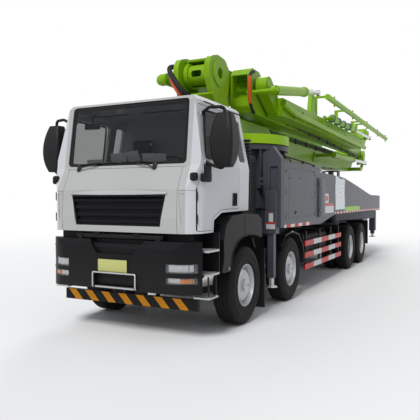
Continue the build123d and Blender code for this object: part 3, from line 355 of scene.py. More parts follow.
paneTint = glassFinish("door glass", (0.02, 0.03, 0.03), 0.30)
seal = finish("seal rubber", (0.008, 0.008, 0.009), 0.6, sheen=0.2, grain=300, spread=0.2, relief=0.0002)
gloss = finish("black gloss", (0.009, 0.009, 0.010), 0.25, sheen=0.35, grain=200, spread=0.1)
plain = finish("bright metal", bright["color"], 0.28, metallic=0.85, grain=120, spread=0.06)
nutSteel = finish("nut steel", (0.09, 0.09, 0.095), 0.4, metallic=0.3, grain=120)
amber = finish("amber lens", (0.85, 0.25, 0.015), 0.15, grain=220, spread=0.1, relief=0.0006)
paper = finish("paper", (0.62, 0.66, 0.65), 0.7, grain=40, spread=0.05)
plateLime = finish("bare plate", (0.52, 0.53, 0.18), 0.4, grain=90, spread=0.05)
labelWhite = finish("bare label", (0.68, 0.68, 0.68), 0.4, grain=60, spread=0.03)
labelRed = finish("red label", (0.60, 0.04, 0.03), 0.4, grain=60, spread=0.04)
rubber = (0.011, 0.011, 0.012)
sleeve = {"color": (0.68, 0.085, 0.018), "roughness": 0.55, "grain": 150, "spread": 0.15, "relief": 0.001}
headSleeve = finish("head hose sleeve", **sleeve, sheen=0.3, zones=(
    dict(color=rubber, where={"z": (3.835, None)}),
    dict(color=rubber, where={"z": (None, 3.365)})))
sleeveOrange = finish("orange sleeve", **sleeve)
hoseBlack = finish("hose rubber", rubber, 0.55, sheen=0.25, grain=160, spread=0.2, relief=0.0006)
wrapBlue = finish("wrapped pipe", (0.13, 0.19, 0.27), 0.5, grain=120, spread=0.2, relief=0.001)
pageBlue = finish("bare film", (0.55, 0.62, 0.68), 0.25, grain=20, spread=0.08, coat=0.5)
print("finishes ready")


def dress(material, *names):
    for name in names:
        for place in nodes[name].material_slots:
            place.material = material


sideNames = {"left": 1, "right": -1}
dress(chassisBlack, "frame_rails", "front_axle_beams", "driveline", "tanks")
for material, name in ((cabWhite, "cab_shell"), (glassTint, "windows_and_lamps"), (trimGrey, "cab_interior"),
                       (bumperBlack, "bumper"), (fenderBlack, "fenders"), (guardPaint, "side_guards"),
                       (coverGrey, "deck_covers"), (ringGreenPaintedHighlight, "turret")):
    dress(material, name)
dress(deckGrey, "subframe", "hopper", "hopper_grate")
for side in sideNames:
    dress(doorWhite, f"{side}_door")
    dress(chassisBlack, f"{side}_knuckle_1", f"{side}_knuckle_2")
    for number in (1, 2, 3, 4):
        dress(tyreRubber, f"{side}_tyre_{number}")
        dress(wheelSilver, f"{side}_rim_{number}")
    dress(deckGrey, f"{side}_front_outrigger")
    dress(armGrey, f"{side}_rear_outrigger")
    dress(jackGrey, f"{side}_front_jack")
    dress(rearJackGrey, f"{side}_rear_jack")
for number in range(1, 6):
    dress(boomGreen, f"arm_{number}", f"arm_{number}_barrel")
    dress(chrome, f"arm_{number}_rod")
print("CAD nodes dressed")


def pick(*pieces):
    # select these pieces alone, with the first one active
    bpy.ops.object.select_all(action="DESELECT")
    for piece in pieces:
        piece.select_set(True)
    bpy.context.view_layer.objects.active = pieces[0]


def applied(piece):
    pick(piece)
    bpy.ops.object.transform_apply(location=True, rotation=True, scale=True)
    return piece


def settle(piece, name, body, material, smooth=35):
    # name, finish, body and smoothing of a piece whose place is already in its mesh
    applied(piece)
    if smooth:
        bpy.ops.object.shade_smooth_by_angle(angle=math.radians(smooth))
    piece.name = name
    piece.data.name = name
    piece.data.materials.clear()
    piece.data.materials.append(material)
    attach(piece, body)
    return piece


def laid(spot, turn):
    # a place and a turn in degrees about x, then y, then z, as one matrix
    x, y, z = (math.radians(angle) for angle in turn)
    spin = Matrix.Rotation(z, 4, "Z") @ Matrix.Rotation(y, 4, "Y") @ Matrix.Rotation(x, 4, "X")
    return Matrix.Translation(spot) @ spin


def plate(spot, size, round=0.004, turn=(0, 0, 0), segments=2):
    # rounded plate or bar: a cube sized in edit mode and bevelled
    bpy.ops.object.select_all(action="DESELECT")
    bpy.ops.mesh.primitive_cube_add(size=1, location=(0, 0, 0))
    piece = bpy.context.object
    bpy.ops.object.mode_set(mode="EDIT")
    bpy.ops.transform.resize(value=size)
    bpy.ops.mesh.bevel(offset=min(round, min(size) * 0.45), segments=segments, affect="EDGES")
    bpy.ops.object.mode_set(mode="OBJECT")
    piece.matrix_world = laid(spot, turn)
    return piece


def opened():
    # edit mode with everything selected
    bpy.ops.object.mode_set(mode="EDIT")
    bpy.ops.mesh.select_all(action="SELECT")


def facedOut():
    # end of an edit: every normal of the open mesh points outwards
    bpy.ops.mesh.select_all(action="SELECT")
    bpy.ops.mesh.normals_make_consistent(inside=False)
    bpy.ops.object.mode_set(mode="OBJECT")


def turned(steps, spot, axis="Z", count=24, caps=True, sign=1):
    # round piece: a ring pulled through radius and height steps, then laid along an axis
    # open fault: once tyreModel has set the select mode to faces, each ring stays a flat disc
    bpy.ops.object.select_all(action="DESELECT")
    (radius, height), *rest = steps
    bpy.ops.mesh.primitive_circle_add(vertices=count, radius=radius, location=(0, 0, height))
    piece = bpy.context.object
    opened()
    for nextRadius, nextHeight in rest:
        bpy.ops.mesh.extrude_region_move(TRANSFORM_OT_translate={"value": (0, 0, nextHeight - height)})
        if nextRadius != radius:
            bpy.ops.transform.resize(value=(nextRadius / radius, nextRadius / radius, 1))
        radius, height = nextRadius, nextHeight
    bpy.ops.mesh.select_all(action="SELECT")
    if caps:
        bpy.ops.mesh.fill_holes(sides=0)
    else:
        bpy.ops.mesh.remove_doubles(threshold=0.0001)
    facedOut()
    bpy.ops.object.transform_apply(location=True, rotation=True, scale=True)
    lay = {"Z": (0, 0, 0) if sign > 0 else (180, 0, 0), "Y": (-90 * sign, 0, 0), "X": (0, 90 * sign, 0)}[axis]
    piece.matrix_world = laid(spot, lay)
    return piece


def pathOf(name, points, radius, rounding, soft=0):
    # round bar along a path: straight between its points, or a smooth curve of resolution soft
    curve = bpy.data.curves.new(name, "CURVE")
    curve.dimensions = "3D"
    line = curve.splines.new("NURBS" if soft else "POLY")
    line.points.add(len(points) - 1)
    for point, spot in zip(line.points, points):
        point.co = (*spot, 1)
    if soft:
        line.order_u = 3
        line.use_endpoint_u = True
        line.resolution_u = soft
    curve.bevel_depth = radius
    curve.bevel_resolution = rounding
    curve.use_fill_caps = True
    piece = bpy.data.objects.new(name, curve)
    bpy.context.collection.objects.link(piece)
    return piece


def rod(points, radius, sides=10, soft=0):
    # bent bar or pipe, as a mesh
    pick(pathOf("bent bar", points, radius, max(1, sides // 4), soft))
    bpy.ops.object.convert(target="MESH")
    return bpy.context.object


def smoothPath(points, radius):
    return rod(points, radius, 12, 6)


def joined(pieces):
    pick(*pieces)
    if len(pieces) > 1:
        bpy.ops.object.join()
    bpy.ops.object.transform_apply(location=True, rotation=True, scale=True)
    return bpy.context.object


def copyAt(model, matrix):
    copy = model.copy()
    copy.data = model.data.copy()
    copy.matrix_world = matrix @ model.matrix_world
    bpy.context.collection.objects.link(copy)
    return copy


def copies(model, matrices):
    # a piece modelled once and copied to each place, without the model
    pieces = [copyAt(model, matrix) for matrix in matrices]
    bpy.data.objects.remove(model)
    return pieces


def roundRing(middle, axis, radius, count, first=0.0):
    # places on a circle, each turned with it
    out = Vector((1, 0, 0)) if axis == "Z" else Vector((0, 0, 1))
    spins = [Matrix.Rotation(first + 2 * math.pi * k / count, 4, axis) for k in range(count)]
    return [Matrix.Translation(Vector(middle) + spin @ (out * radius)) @ spin for spin in spins]


def boltRing(spot, axis, radius, count, head, tall, first=0.0, sign=1):
    model = turned([(head, 0), (head, tall * 0.75), (head * 0.8, tall), (head * 0.45, tall),
                    (head * 0.45, tall * 1.35)], (0, 0, 0), axis, 6, sign=sign)
    return joined(copies(model, roundRing(spot, axis, radius, count, first)))


tyre = {"out": 0.540, "bead": 0.292, "half": 0.150, "steps": 96, "groove": 0.011, "cut": 0.007,
        "grooves": (-1.5, -0.5, 0.5, 1.5), "pitch": 0.052,
        "rows": {1: (1.065,), 2: (1.065,), 3: (0.745, 1.075), 4: (0.745, 1.075)},
        "blocks": ((0.100, 0.138, 2), (0.012, 0.021, 4), (0.060, 0.075, 4))}


def tyreModel():
    # ribbed side wall, grooved crown, other side wall and seat, turned about y, then blocks cut in
    out, half, bead = tyre["out"], tyre["half"], tyre["bead"]
    side = [(bead, 0.018), (bead + 0.012, 0.004), (0.335, -0.001), (0.341, -0.004), (0.349, -0.004),
            (0.353, -0.002), (0.415, -0.0035), (0.421, -0.006), (0.441, -0.006), (0.447, -0.003),
            (0.487, 0.006), (out - 0.030, 0.018), (out - 0.012, 0.030), (out - 0.002, 0.044)]
    side = [(radius, inset - half) for radius, inset in side]
    crown = []
    for k in tyre["grooves"]:
        spot, rim, floorOf = k * tyre["pitch"], out - 0.0004 * abs(k), out - tyre["groove"]
        crown += [(rim, spot - 0.008), (floorOf, spot - 0.005), (floorOf, spot + 0.005), (rim, spot + 0.008)]
    loop = side + crown + [(r, -h) for r, h in reversed(side)]
    loop += [(bead, 0.06), (bead, -0.06), loop[0]]
    piece = applied(turned(loop, (0, 0, 0), "Y", tyre["steps"], caps=False))
    for low, high, share in tyre["blocks"]:
        bpy.ops.object.mode_set(mode="EDIT")
        bpy.ops.mesh.select_mode(type="FACE")
        bpy.ops.mesh.select_all(action="DESELECT")
        bpy.ops.object.mode_set(mode="OBJECT")
        for face in piece.data.polygons:
            c = face.center
            far = math.hypot(c.x, c.z)
            turn = round((math.atan2(c.z, c.x) / (2 * math.pi) * tyre["steps"]) - 0.5)
            face.select = far > out - 0.02 and low < abs(c.y) < high and turn % share == 0
        bpy.ops.object.mode_set(mode="EDIT")
        bpy.ops.mesh.inset(thickness=0.003, depth=-tyre["cut"], use_individual=True)
        bpy.ops.object.mode_set(mode="OBJECT")
    return piece


model = tyreModel()
for side, sign in sideNames.items():
    for number, rows in tyre["rows"].items():
        low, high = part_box(f"{side}_tyre_{number}")
        middle = Vector(((low.x + high.x) / 2, 0, (low.z + high.z) / 2))
        pair = [copyAt(model, Matrix.Translation(middle + Vector((0, sign * y, 0)))) for y in rows]
        wheel = f"{side}_wheel_{number}"
        piece = settle(joined(pair), f"{side}_tread_{number}", wheel, tyreRubber, 30)
        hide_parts(f"{side}_tyre_{number}")
bpy.data.objects.remove(model)
print("tyres ready")

# nuts, hub cap with its bolts, and dark cups sunk in the hand holes as painted shade; a front wheel's disc
# stands out and a rear one's is sunk
hubTrim = {"nuts": 10, "nutRing": 0.168, "nut": 0.0165, "holes": 16, "holeRing": 0.226}
discs = {"front": {"face": 1.172, "cap": 1.200, "bolts": 1.175, "boltRing": 0.118, "hole": 1.142,
                   "steps": [(0.082, 0), (0.078, 0.012), (0.05, 0.016), (0.046, 0.026), (0.02, 0.03)]},
         "rear": {"face": 0.980, "cap": 1.128, "bolts": 1.130, "boltRing": 0.086, "hole": 0.994,
                  "steps": [(0.1, 0), (0.098, 0.02), (0.07, 0.03), (0.03, 0.034)]}}
for side, sign in sideNames.items():
    for number in (1, 2, 3, 4):
        low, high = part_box(f"{side}_rim_{number}")
        x, z = (low.x + high.x) / 2, (low.z + high.z) / 2
        disc = discs["front" if number < 3 else "rear"]
        wheel = f"{side}_wheel_{number}"
        nuts = boltRing((x, sign * disc["face"], z), "Y", hubTrim["nutRing"], hubTrim["nuts"], hubTrim["nut"],
                        0.024, sign=sign)
        cap = turned(disc["steps"], (x, sign * disc["cap"], z), "Y", 28, sign=sign)
        ring = boltRing((x, sign * disc["bolts"], z), "Y", disc["boltRing"], 8, 0.008, 0.008, 0.2, sign)
        settle(joined([nuts, cap, ring]), f"{side}_hub_trim_{number}", wheel, nutSteel, 30)
        # dark cups inside the hand holes: painted shade standing for the shade within each hole
        shadeCup = turned([(0.0148, 0), (0.0148, 0.006), (0.013, 0.008)], (0, 0, 0), "Y", 14, sign=sign)
        places = roundRing((x, sign * disc["hole"], z), "Y", hubTrim["holeRing"], hubTrim["holes"])
        shadeCups = copies(shadeCup, [Matrix.Translation(place.to_translation()) for place in places])
        settle(joined(shadeCups), f"{side}_hand_hole_shades_{number}", wheel, seal, 30)
print("hub trim ready")


# Trim on the cab's front
strip = {"half": 0.745, "low": 1.787, "high": 1.828, "bow": 0.022, "face": 1.357}
wiper = {"x": 1.212, "z": 2.112, "feet": ((-0.722, 0.50), (0.481, -0.42))}
bare = {"at": (1.401, -0.03, 0.897), "half": 0.225, "tall": 0.0775}
lamps = {"upper": (0.905, 0.088), "lower": (0.757, 0.064), "face": 1.395, "half": 1.182, "corner": 0.370,
         "deep": 0.028}
bowls = {"upper": ((0.835, 0.043), (0.930, 0.038)), "lower": ((0.84, 0.03),)}
backs = {"upper": (0.765, 1.062), "lower": (0.765, 0.922)}


def off(spot, x, y, z):
    return spot + Vector((x, y, z))


def grid(across, up):
    bpy.ops.object.select_all(action="DESELECT")
    bpy.ops.mesh.primitive_grid_add(x_subdivisions=across, y_subdivisions=up, size=1, location=(0, 0, 0))
    return bpy.context.object


# a bowed bar with tapered ends above the grille
piece = grid(12, 2)
for vertex in piece.data.vertices:
    across, up = vertex.co.x * 2, vertex.co.y + 0.5
    tall = (strip["high"] - strip["low"]) * (1 - 0.55 * abs(across) ** 3)
    middle = (strip["low"] + strip["high"]) / 2 + strip["bow"] * (1 - across * across) * up
    x = strip["face"] - 0.012 * abs(across) ** 4
    vertex.co = at(x, across * strip["half"], middle + (up - 0.5) * tall)
opened()
bpy.ops.mesh.extrude_region_move(TRANSFORM_OT_translate={"value": (0.016, 0, 0)})
facedOut()
edge = piece.modifiers.new("edge", "BEVEL")
edge.width = 0.005
edge.segments = 2
bpy.ops.object.modifier_apply(modifier="edge")
settle(piece, "grille_strip", "chassis", plain, 40)

# black wipers along the foot of the windscreen, each with a pivot cap, a cover, an arm, a blade and its frame
pieces = []
for y, reach in wiper["feet"]:
    foot = at(wiper["x"], y, wiper["z"])
    hand = off(foot, 0.004, reach * 0.62, 0.078)
    start, end = off(foot, -0.012, -reach * 0.20, 0.078), off(foot, -0.018, reach * 1.24, 0.098)
    middle = (start + end) / 2
    bow = off(middle, 0.010, 0, 0.012)
    pieces.append(turned([(0.034, -0.01), (0.034, 0.012), (0.027, 0.026), (0.012, 0.032)], foot, "X", 20))
    pieces.append(plate(off(foot, -0.004, 0, 0.035), (0.03, 0.058, 0.09), 0.012, (0, -10, 0)))
    pieces.append(rod([off(foot, 0.022, 0, 0.01), off(foot, 0.024, reach * 0.2, 0.050), hand], 0.009))
    pieces.append(rod([start, off(middle, 0.003, 0, 0.004), end], 0.007))
    pieces.append(rod([start * 0.75 + end * 0.25, bow, start * 0.25 + end * 0.75], 0.005))
    pieces.append(rod([hand, bow], 0.007))
settle(joined(pieces), "wipers", "chassis", gloss)

# bare registration plate with a raised rim
x, y, z = bare["at"]
half, tall = bare["half"], bare["tall"]
sheet = plate(at(x, y, z), (0.006, half * 2, tall * 2), 0.003)
settle(sheet, "bare_plate", "chassis", plateLime)
long = (0.010, half * 2 + 0.016, 0.008)
rim = [plate(at(x + 0.002, y, z + s * (tall + 0.004)), long, 0.003) for s in (-1, 1)]
rim += [plate(at(x + 0.002, y + s * (half + 0.004), z), (0.010, 0.008, tall * 2), 0.003) for s in (-1, 1)]
settle(joined(rim), "plate_rim", "chassis", gloss)

# hinge beam and dark closing panel in the gap under the cab
beam = [plate(at(1.300, 0, 1.262), (0.07, 1.34, 0.055), 0.012),
        plate(at(1.20, 0, 1.19), (0.02, 2.02, 0.26), 0.004)]
for s in (-1, 1):
    beam.append(plate(at(1.29, s * 0.60, 1.225), (0.09, 0.07, 0.10), 0.012))
    for radius, long, count in ((0.045, 0.04, 18), (0.016, 0.05, 12)):
        beam.append(turned([(radius, -long), (radius, long)], at(1.30, s * 0.60, 1.262), "Y", count))
beam += [plate(at(1.335, y, 1.292), (0.03, 0.10, 0.024), 0.008) for y in (-0.32, 0.30)]
settle(joined(beam), "cab_hinge_beam", "chassis", seal)


def lampPoint(y, deep=0.0):
    # station on a curve set back from the bumper's face, which turns round its corner, and the lean there
    past = max(0, abs(y) - (lamps["half"] - lamps["corner"]))
    reach = lamps["corner"] - lamps["deep"] - deep
    past = min(past, reach * 0.98)
    x = lamps["face"] - lamps["corner"] + math.sqrt(reach * reach - past * past)
    return x, math.degrees(math.asin(past / reach))


# reflectors, bulbs and back plates, and amber turn lamps, behind the lamp glass
for side, sign in sideNames.items():
    silver, warm = [], []
    for row in ("upper", "lower"):
        z, tall = lamps[row]
        for y, reach in bowls[row]:
            x, lean = lampPoint(y)
            dish = ((0.18, -0.020), (0.5, -0.018), (0.85, -0.008), (1, 0.004), (1.06, 0.005), (1.06, -0.022))
            bowl = turned([(reach * share, height) for share, height in dish], (0, 0, 0), "X", 28)
            bulb = turned([(0.012, -0.020), (0.012, -0.006), (0.006, -0.001)], (0, 0, 0), "X", 12)
            for piece in (bowl, bulb):
                piece.matrix_world = laid(at(x, sign * y, z), (0, 0, sign * lean)) @ piece.matrix_world
                silver.append(piece)
        low, high = backs[row]
        steps = 6
        for k in range(steps):
            y = low + (high - low) * (k + 0.5) / steps
            x, lean = lampPoint(y, 0.008)
            size = (0.005, (high - low) / steps * 1.1, tall)
            silver.append(plate(at(x, sign * y, z), size, 0.002, (0, 0, sign * lean)))
    z, tall = lamps["lower"]
    for k in range(9):
        y = 0.935 + 0.0155 * k
        x, lean = lampPoint(y)
        warm.append(plate(at(x, sign * y, z), (0.012, 0.0150, tall * 0.94), 0.004, (0, 0, sign * lean)))
    settle(joined(silver), f"{side}_reflectors", "chassis", plain, 40)
    settle(joined(warm), f"{side}_turn_lamp", "chassis", amber, 40)
print("cab front ready")

# door windows: pane, seal and run channel
window = {"frame": ((1.085, 2.230), (0.955, 2.835), (0.205, 2.835), (0.205, 2.230)), "low": 1.132,
          "high": 1.056}


def onDoor(x, z, sign, out=0.0):
    # a point of the door's outer skin, which leans in from the waist up
    share = (z - window["frame"][0][1]) / (window["frame"][1][1] - window["frame"][0][1])
    return at(x, sign * (window["low"] + (window["high"] - window["low"]) * share + out), z)


def paneOf(corners, sign, grow, out, thick):
    cx = sum(c[0] for c in corners) / 4
    cz = sum(c[1] for c in corners) / 4
    bpy.ops.object.select_all(action="DESELECT")
    bpy.ops.mesh.primitive_plane_add(size=1, location=(0, 0, 0))
    piece = bpy.context.object
    for vertex, k in zip(piece.data.vertices, (0, 1, 3, 2)):
        x, z = corners[k]
        vertex.co = onDoor(x + math.copysign(grow, x - cx), z + math.copysign(grow, z - cz), sign, out)
    opened()
    bpy.ops.mesh.bevel(offset=0.05, segments=5, affect="VERTICES")
    bpy.ops.mesh.select_all(action="SELECT")
    bpy.ops.mesh.extrude_region_move(TRANSFORM_OT_translate={"value": (0, -sign * thick, 0)})
    facedOut()
    return piece


def sealOf(corners, sign, out, radius):
    # a bar round the window with its corners rounded off in two steps
    spots = [onDoor(x, z, sign, out) for x, z in corners]
    soft = []
    for k, spot in enumerate(spots):
        back = (spots[k - 1] - spot).normalized()
        on = (spots[(k + 1) % 4] - spot).normalized()
        soft += [spot + back * 0.05, spot + back * 0.012 + on * 0.012, spot + on * 0.05]
    return rod(soft + soft[:2], radius, 8)


for side, sign in sideNames.items():
    door = f"{side}_door"
    pane = paneOf(window["frame"], sign, 0.012, -0.020, 0.005)
    settle(pane, f"{side}_door_pane", door, paneTint, 0)
    settle(sealOf(window["frame"], sign, -0.010, 0.013), f"{side}_door_seal", door, seal)
    lug = [plate(at(1.125, sign * 1.158, 1.992), (0.200, 0.070, 0.105), 0.024, segments=3),
           plate(at(1.120, sign * 1.185, 2.020), (0.150, 0.030, 0.050), 0.012)]
    settle(joined(lug), f"{side}_mirror_foot", door, seal)
    corner = plate(at(1.268, sign * 1.070, 2.000), (0.085, 0.085, 0.100), 0.024, (0, 0, sign * -35), 3)
    settle(corner, f"{side}_pillar_lug", "chassis", seal)
    lock = [(0.012, 0), (0.012, 0.008), (0.008, 0.01)]
    pull = [plate(at(0.300, sign * 1.138, 1.73), (0.020, 0.018, 0.15), 0.008),
            plate(at(0.245, sign * 1.112, 1.73), (0.12, 0.012, 0.15), 0.005),
            turned(lock, at(0.20, sign * 1.118, 1.675), "Y", 16, sign=sign)]
    settle(joined(pull), f"{side}_door_pull", door, gloss)
print("door trim ready")

# Steps, arch trim and side lamps
studPitch = 0.028
treads = ((1.116, 0.855, 1.160, 0.950, 1.205), (0.829, 0.855, 1.160, 0.950, 1.205),
          (0.541, 0.885, 1.135, 0.990, 1.205))
archLip = ((0.520, 0.815), (0.49, 1.0), (0.415, 1.108), (0.24, 1.205), (-0.02, 1.243), (-0.34, 1.226),
           (-0.515, 1.18))
for side, sign in sideNames.items():
    places = []
    for top, x1, x2, y1, y2 in treads:
        for i in range(int((x2 - x1 - 0.02) / studPitch)):
            for j in range(int((y2 - y1 - 0.02) / studPitch)):
                spot = at(x1 + 0.022 + i * studPitch, sign * (y1 + 0.022 + j * studPitch), top + 0.0015)
                places.append(laid(spot, (0, 0, 45 if (i + j) % 2 else -45)))
    studs = copies(plate((0, 0, 0), (0.016, 0.006, 0.005), 0.002, segments=1), places)
    settle(joined(studs), f"{side}_step_studs", "chassis", plain, 0)
    lens = [(0.048, -0.004), (0.048, 0.010), (0.038, 0.018), (0.018, 0.021)]
    lamp = turned(lens, at(0.628, sign * 1.215, 0.846), "Y", 24, sign=sign)
    settle(lamp, f"{side}_marker_lamp", "chassis", amber)
    lip = smoothPath([at(x, sign * 1.2155, z) for x, z in archLip], 0.010)
    joint = plate(at(0.072, sign * 1.2152, 1.37), (0.008, 0.004, 0.27), 0.0015)
    settle(joined([lip, joint]), f"{side}_arch_lip", "chassis", seal, 40)
    folds = [at(-0.300, sign * 1.085, 1.72 + 0.045 * k) for k in range(20)]
    bellows = [plate(fold, (0.085, 0.10, 0.034), 0.012) for fold in folds]
    settle(joined(bellows), f"{side}_intake_bellows", "chassis", seal)
clips = [plate(at(-1.99, s * 1.2155, 1.172), (0.05, 0.006, 0.02), 0.002) for s in (1, -1)]
settle(joined(clips), "arch_clips", "chassis", plain)
stud = turned([(0.006, 0), (0.006, 0.003), (0.003, 0.004)], (0, 0, 0), "Z", 8)
studs = copies(stud, [Matrix.Translation(at(1.364 + 0.026 * i, -0.272 + 0.032 * j, 0.632))
                      for i in range(2) for j in range(18)])
settle(joined(studs), "front_step_studs", "chassis", plain)
print("steps and arches ready")

# Cab interior: visors, inner mirror, papers on the dash, dials, seat side rolls
visors = [plate(at(0.925, y, 2.865), (0.16, 0.62, 0.016), 0.007, (0, 12, 0)) for y in (-0.46, 0.46)]
settle(joined(visors), "sun_visors", "chassis", trimGrey)
glassBack = [plate(at(0.955, -0.70, 2.735), (0.02, 0.24, 0.085), 0.009, (0, -8, 8)),
             rod([at(0.955, -0.70, 2.76), at(0.965, -0.68, 2.84), at(0.97, -0.62, 2.90)], 0.008)]
settle(joined(glassBack), "inner_mirror", "chassis", gloss)
pages = ((-0.22, 2.262, (0, -72, 8), (0.17, 0.23)), (0.02, 2.275, (10, -66, -12), (0.19, 0.20)),
         (0.34, 2.250, (-6, -70, 14), (0.15, 0.34)), (-0.62, 2.235, (0, -80, 4), (0.08, 0.26)))
papers = [plate(at(1.0, y, z), (*size, 0.003), 0.001, turn) for y, z, turn, size in pages]
roll = turned([(0.022, -0.17), (0.026, -0.16), (0.026, 0.16), (0.022, 0.17)], (0, 0, 0), "Y", 16)
roll.matrix_world = laid(at(0.99, 0.12, 2.385), (20, 0, 0)) @ roll.matrix_world
settle(joined(papers + [roll]), "dash_papers", "chassis", paper, 20)
dialSteps = [(0.045, 0), (0.045, 0.008), (0.038, 0.008), (0.036, 0.003)]
dials = [turned(dialSteps, at(0.915, y, 2.03), "X", 24, sign=-1) for y in (0.40, 0.52, 0.64)]
dials += [plate(at(0.905, y, 1.99), (0.012, 0.16, 0.09), 0.005, (0, -14, 0)) for y in (-0.1, 0.12)]
settle(joined(dials), "dash_dials", "chassis", gloss)
rolls = [plate(at(0.135, y + s * 0.16, 2.1), (0.012, 0.07, 0.5), 0.003, (0, -14, 0))
         for y in (-0.52, 0.52) for s in (-1, 1)]
settle(joined(rolls), "seat_side_rolls", "chassis", trimGrey)
print("interior ready")

# Drip rails over the doors
drip = ((0.93, 1.028, 2.945), (0.2, 1.034, 2.925), (-0.20, 1.034, 2.925))
for side, sign in sideNames.items():
    rail = [at(x, sign * y, z) for x, y, z in drip]
    settle(rod(rail, 0.010), f"{side}_drip_rail", "chassis", seal)

# Labels, bare film and fittings on the covers and the front legs
deck = {"skin": 1.245, "legFace": -1.1795, "film": (-4.885, 0.905, 1.497, 2.235), "hatchAt": (-3.71, 1.765),
        "hatch": (0.46, 0.77), "latches": ((-1.776, 2.08), (-2.308, 2.098), (-3.124, 2.248), (-3.064, 1.753)),
        "hinges": (-1.62, -3.30), "handle": (-2.11, 1.50),
        "bolts": ((-1.51, 1.34, -1.51, 2.36, 9), (-3.36, 1.34, -3.36, 2.28, 9),
                  (-5.42, 1.55, -5.42, 2.1, 6), (-7.36, 1.52, -7.36, 1.95, 5),
                  (-9.12, 1.50, -9.12, 1.75, 4), (-5.60, 1.475, -10.5, 1.475, 22)),
        "line": ((-1.62, 2.398), (-2.6, 2.370), (-3.3, 2.345), (-3.42, 2.30), (-3.9, 2.255))}


def boltLine(start, end, count, head, sign):
    # a row of small bolt heads on a cover, between two places
    model = turned([(head, -0.001), (head, head * 0.7), (head * 0.75, head)], (0, 0, 0), "Y", 6, sign=sign)
    return copies(model, [Matrix.Translation(start.lerp(end, k / (count - 1))) for k in range(count)])


def onSkin(sign, x, out, z):
    # a place this far out from a cover's outer face
    return at(x, sign * (deck["skin"] + out), z)


for side, sign in sideNames.items():
    bare = [plate(onSkin(sign, -4.15, 0.001, 1.748), (0.32, 0.002, 0.195), 0.0008),
            plate(onSkin(sign, -4.37, 0.001, 1.54), (0.76, 0.002, 0.20), 0.0008)]
    capped = [plate(onSkin(sign, -4.15, 0.0022, 1.748), (0.32 * 0.55, 0.0016, 0.195 * 0.5), 0.0006),
              plate(onSkin(sign, -4.37, 0.0022, 1.54 + 0.20 * 0.36), (0.76, 0.0016, 0.20 * 0.26), 0.0006)]
    settle(joined(bare), f"{side}_cover_labels", "chassis", labelWhite, 0)
    settle(joined(capped), f"{side}_cover_label_bands", "chassis", labelRed, 0)
    leg, face = f"{side}_front_outrigger", deck["legFace"]
    legBare = [plate(at(face, sign * 1.124, 1.445), (0.002, 0.074, 0.15), 0.0008),
               plate(at(face, sign * 1.119, 1.31), (0.002, 0.150, 0.108), 0.0008)]
    legRed = [plate(at(face + 0.0012, sign * 1.119, 1.349), (0.002, 0.150, 0.030), 0.0008),
              plate(at(face + 0.0012, sign * 1.124, 1.512), (0.002, 0.074, 0.014), 0.0008)]
    settle(joined(legBare), f"{side}_leg_labels", leg, labelWhite, 0)
    settle(joined(legRed), f"{side}_leg_label_bands", leg, labelRed, 0)

    # creased protective film stuck to the cover
    film = grid(40, 26)
    front, long, low, high = deck["film"]
    for vertex in film.data.vertices:
        u, v = vertex.co.x + 0.5, vertex.co.y + 0.5
        crease = 0.0012 * math.sin(9 * u + 4 * v) + 0.0008 * math.sin(15 * u - 7 * v + 1.3)
        top = high - 0.055 * u + 0.018 * math.sin(9 * u)
        x = front - long * u - 0.012 * math.sin(8 * v)
        vertex.co = onSkin(sign, x, 0.0045 + crease, low + (top - low) * v)
    film.modifiers.new("film", "SOLIDIFY").thickness = 0.001
    bpy.ops.object.modifier_apply(modifier="film")
    settle(film, f"{side}_cover_film", "chassis", pageBlue, 50)

    # raised hatch with a turned edge and strap hinges
    x, z = deck["hatchAt"]
    wide, tall = deck["hatch"]
    hatch = [plate(onSkin(sign, x, 0.014, z), (wide, 0.034, tall), 0.012),
             plate(onSkin(sign, x, 0.033, z), (wide - 0.10, 0.006, tall - 0.12), 0.003)]
    hinges = (z - 0.25, z + 0.25)
    hatch += [plate(onSkin(sign, x + wide * 0.38, 0.036, up), (0.10, 0.012, 0.05), 0.004) for up in hinges]
    hatch += [turned([(0.014, -0.04), (0.014, 0.04)], onSkin(sign, x + wide / 2 + 0.012, 0.018, up), "Z", 12)
              for up in hinges]
    settle(joined(hatch), f"{side}_hatch", "chassis", coverGrey)

    # latches, a handle, hinges and edge bolts
    fittings = []
    latch = [(0.030, -0.002), (0.030, 0.006), (0.024, 0.009), (0.022, 0.004), (0.008, 0.004)]
    for x, z in deck["latches"]:
        fittings.append(turned(latch, onSkin(sign, x, 0, z), "Y", 20, sign=sign))
        fittings.append(plate(onSkin(sign, x, 0.009, z), (0.036, 0.010, 0.010), 0.004, (0, 35, 0)))
    x, z = deck["handle"]
    fittings.append(plate(onSkin(sign, x, 0.004, z), (0.12, 0.010, 0.055), 0.004))
    loop = ((-0.045, 0.008), (-0.045, 0.028), (0.045, 0.028), (0.045, 0.008))
    fittings.append(rod([onSkin(sign, x + along, out, z) for along, out in loop], 0.005))
    for x in deck["hinges"]:
        for z in (1.45, 1.85, 2.2):
            fittings.append(turned([(0.011, -0.035), (0.011, 0.035)], onSkin(sign, x, 0.008, z), "Z", 10))
            fittings.append(plate(onSkin(sign, x + 0.035, 0.003, z), (0.06, 0.006, 0.05), 0.002))
    settle(joined(fittings), f"{side}_cover_fittings", "chassis", gloss)
    rows = []
    for x1, z1, x2, z2, count in deck["bolts"]:
        rows += boltLine(onSkin(sign, x1, 0, z1), onSkin(sign, x2, 0, z2), count, 0.008, sign)
    settle(joined(rows), f"{side}_cover_bolts", "chassis", plain, 30)

    # grease and wash line along the top edge of the covers, in clips
    line = smoothPath([at(x, sign * 1.205, z + 0.045) for x, z in deck["line"]], 0.013)
    clips = [plate(at(x, sign * 1.205, z + 0.03), (0.03, 0.045, 0.05), 0.006) for x, z in deck["line"][:3]]
    settle(joined([line] + clips), f"{side}_cover_line", "chassis", seal)
print("deck fittings ready")

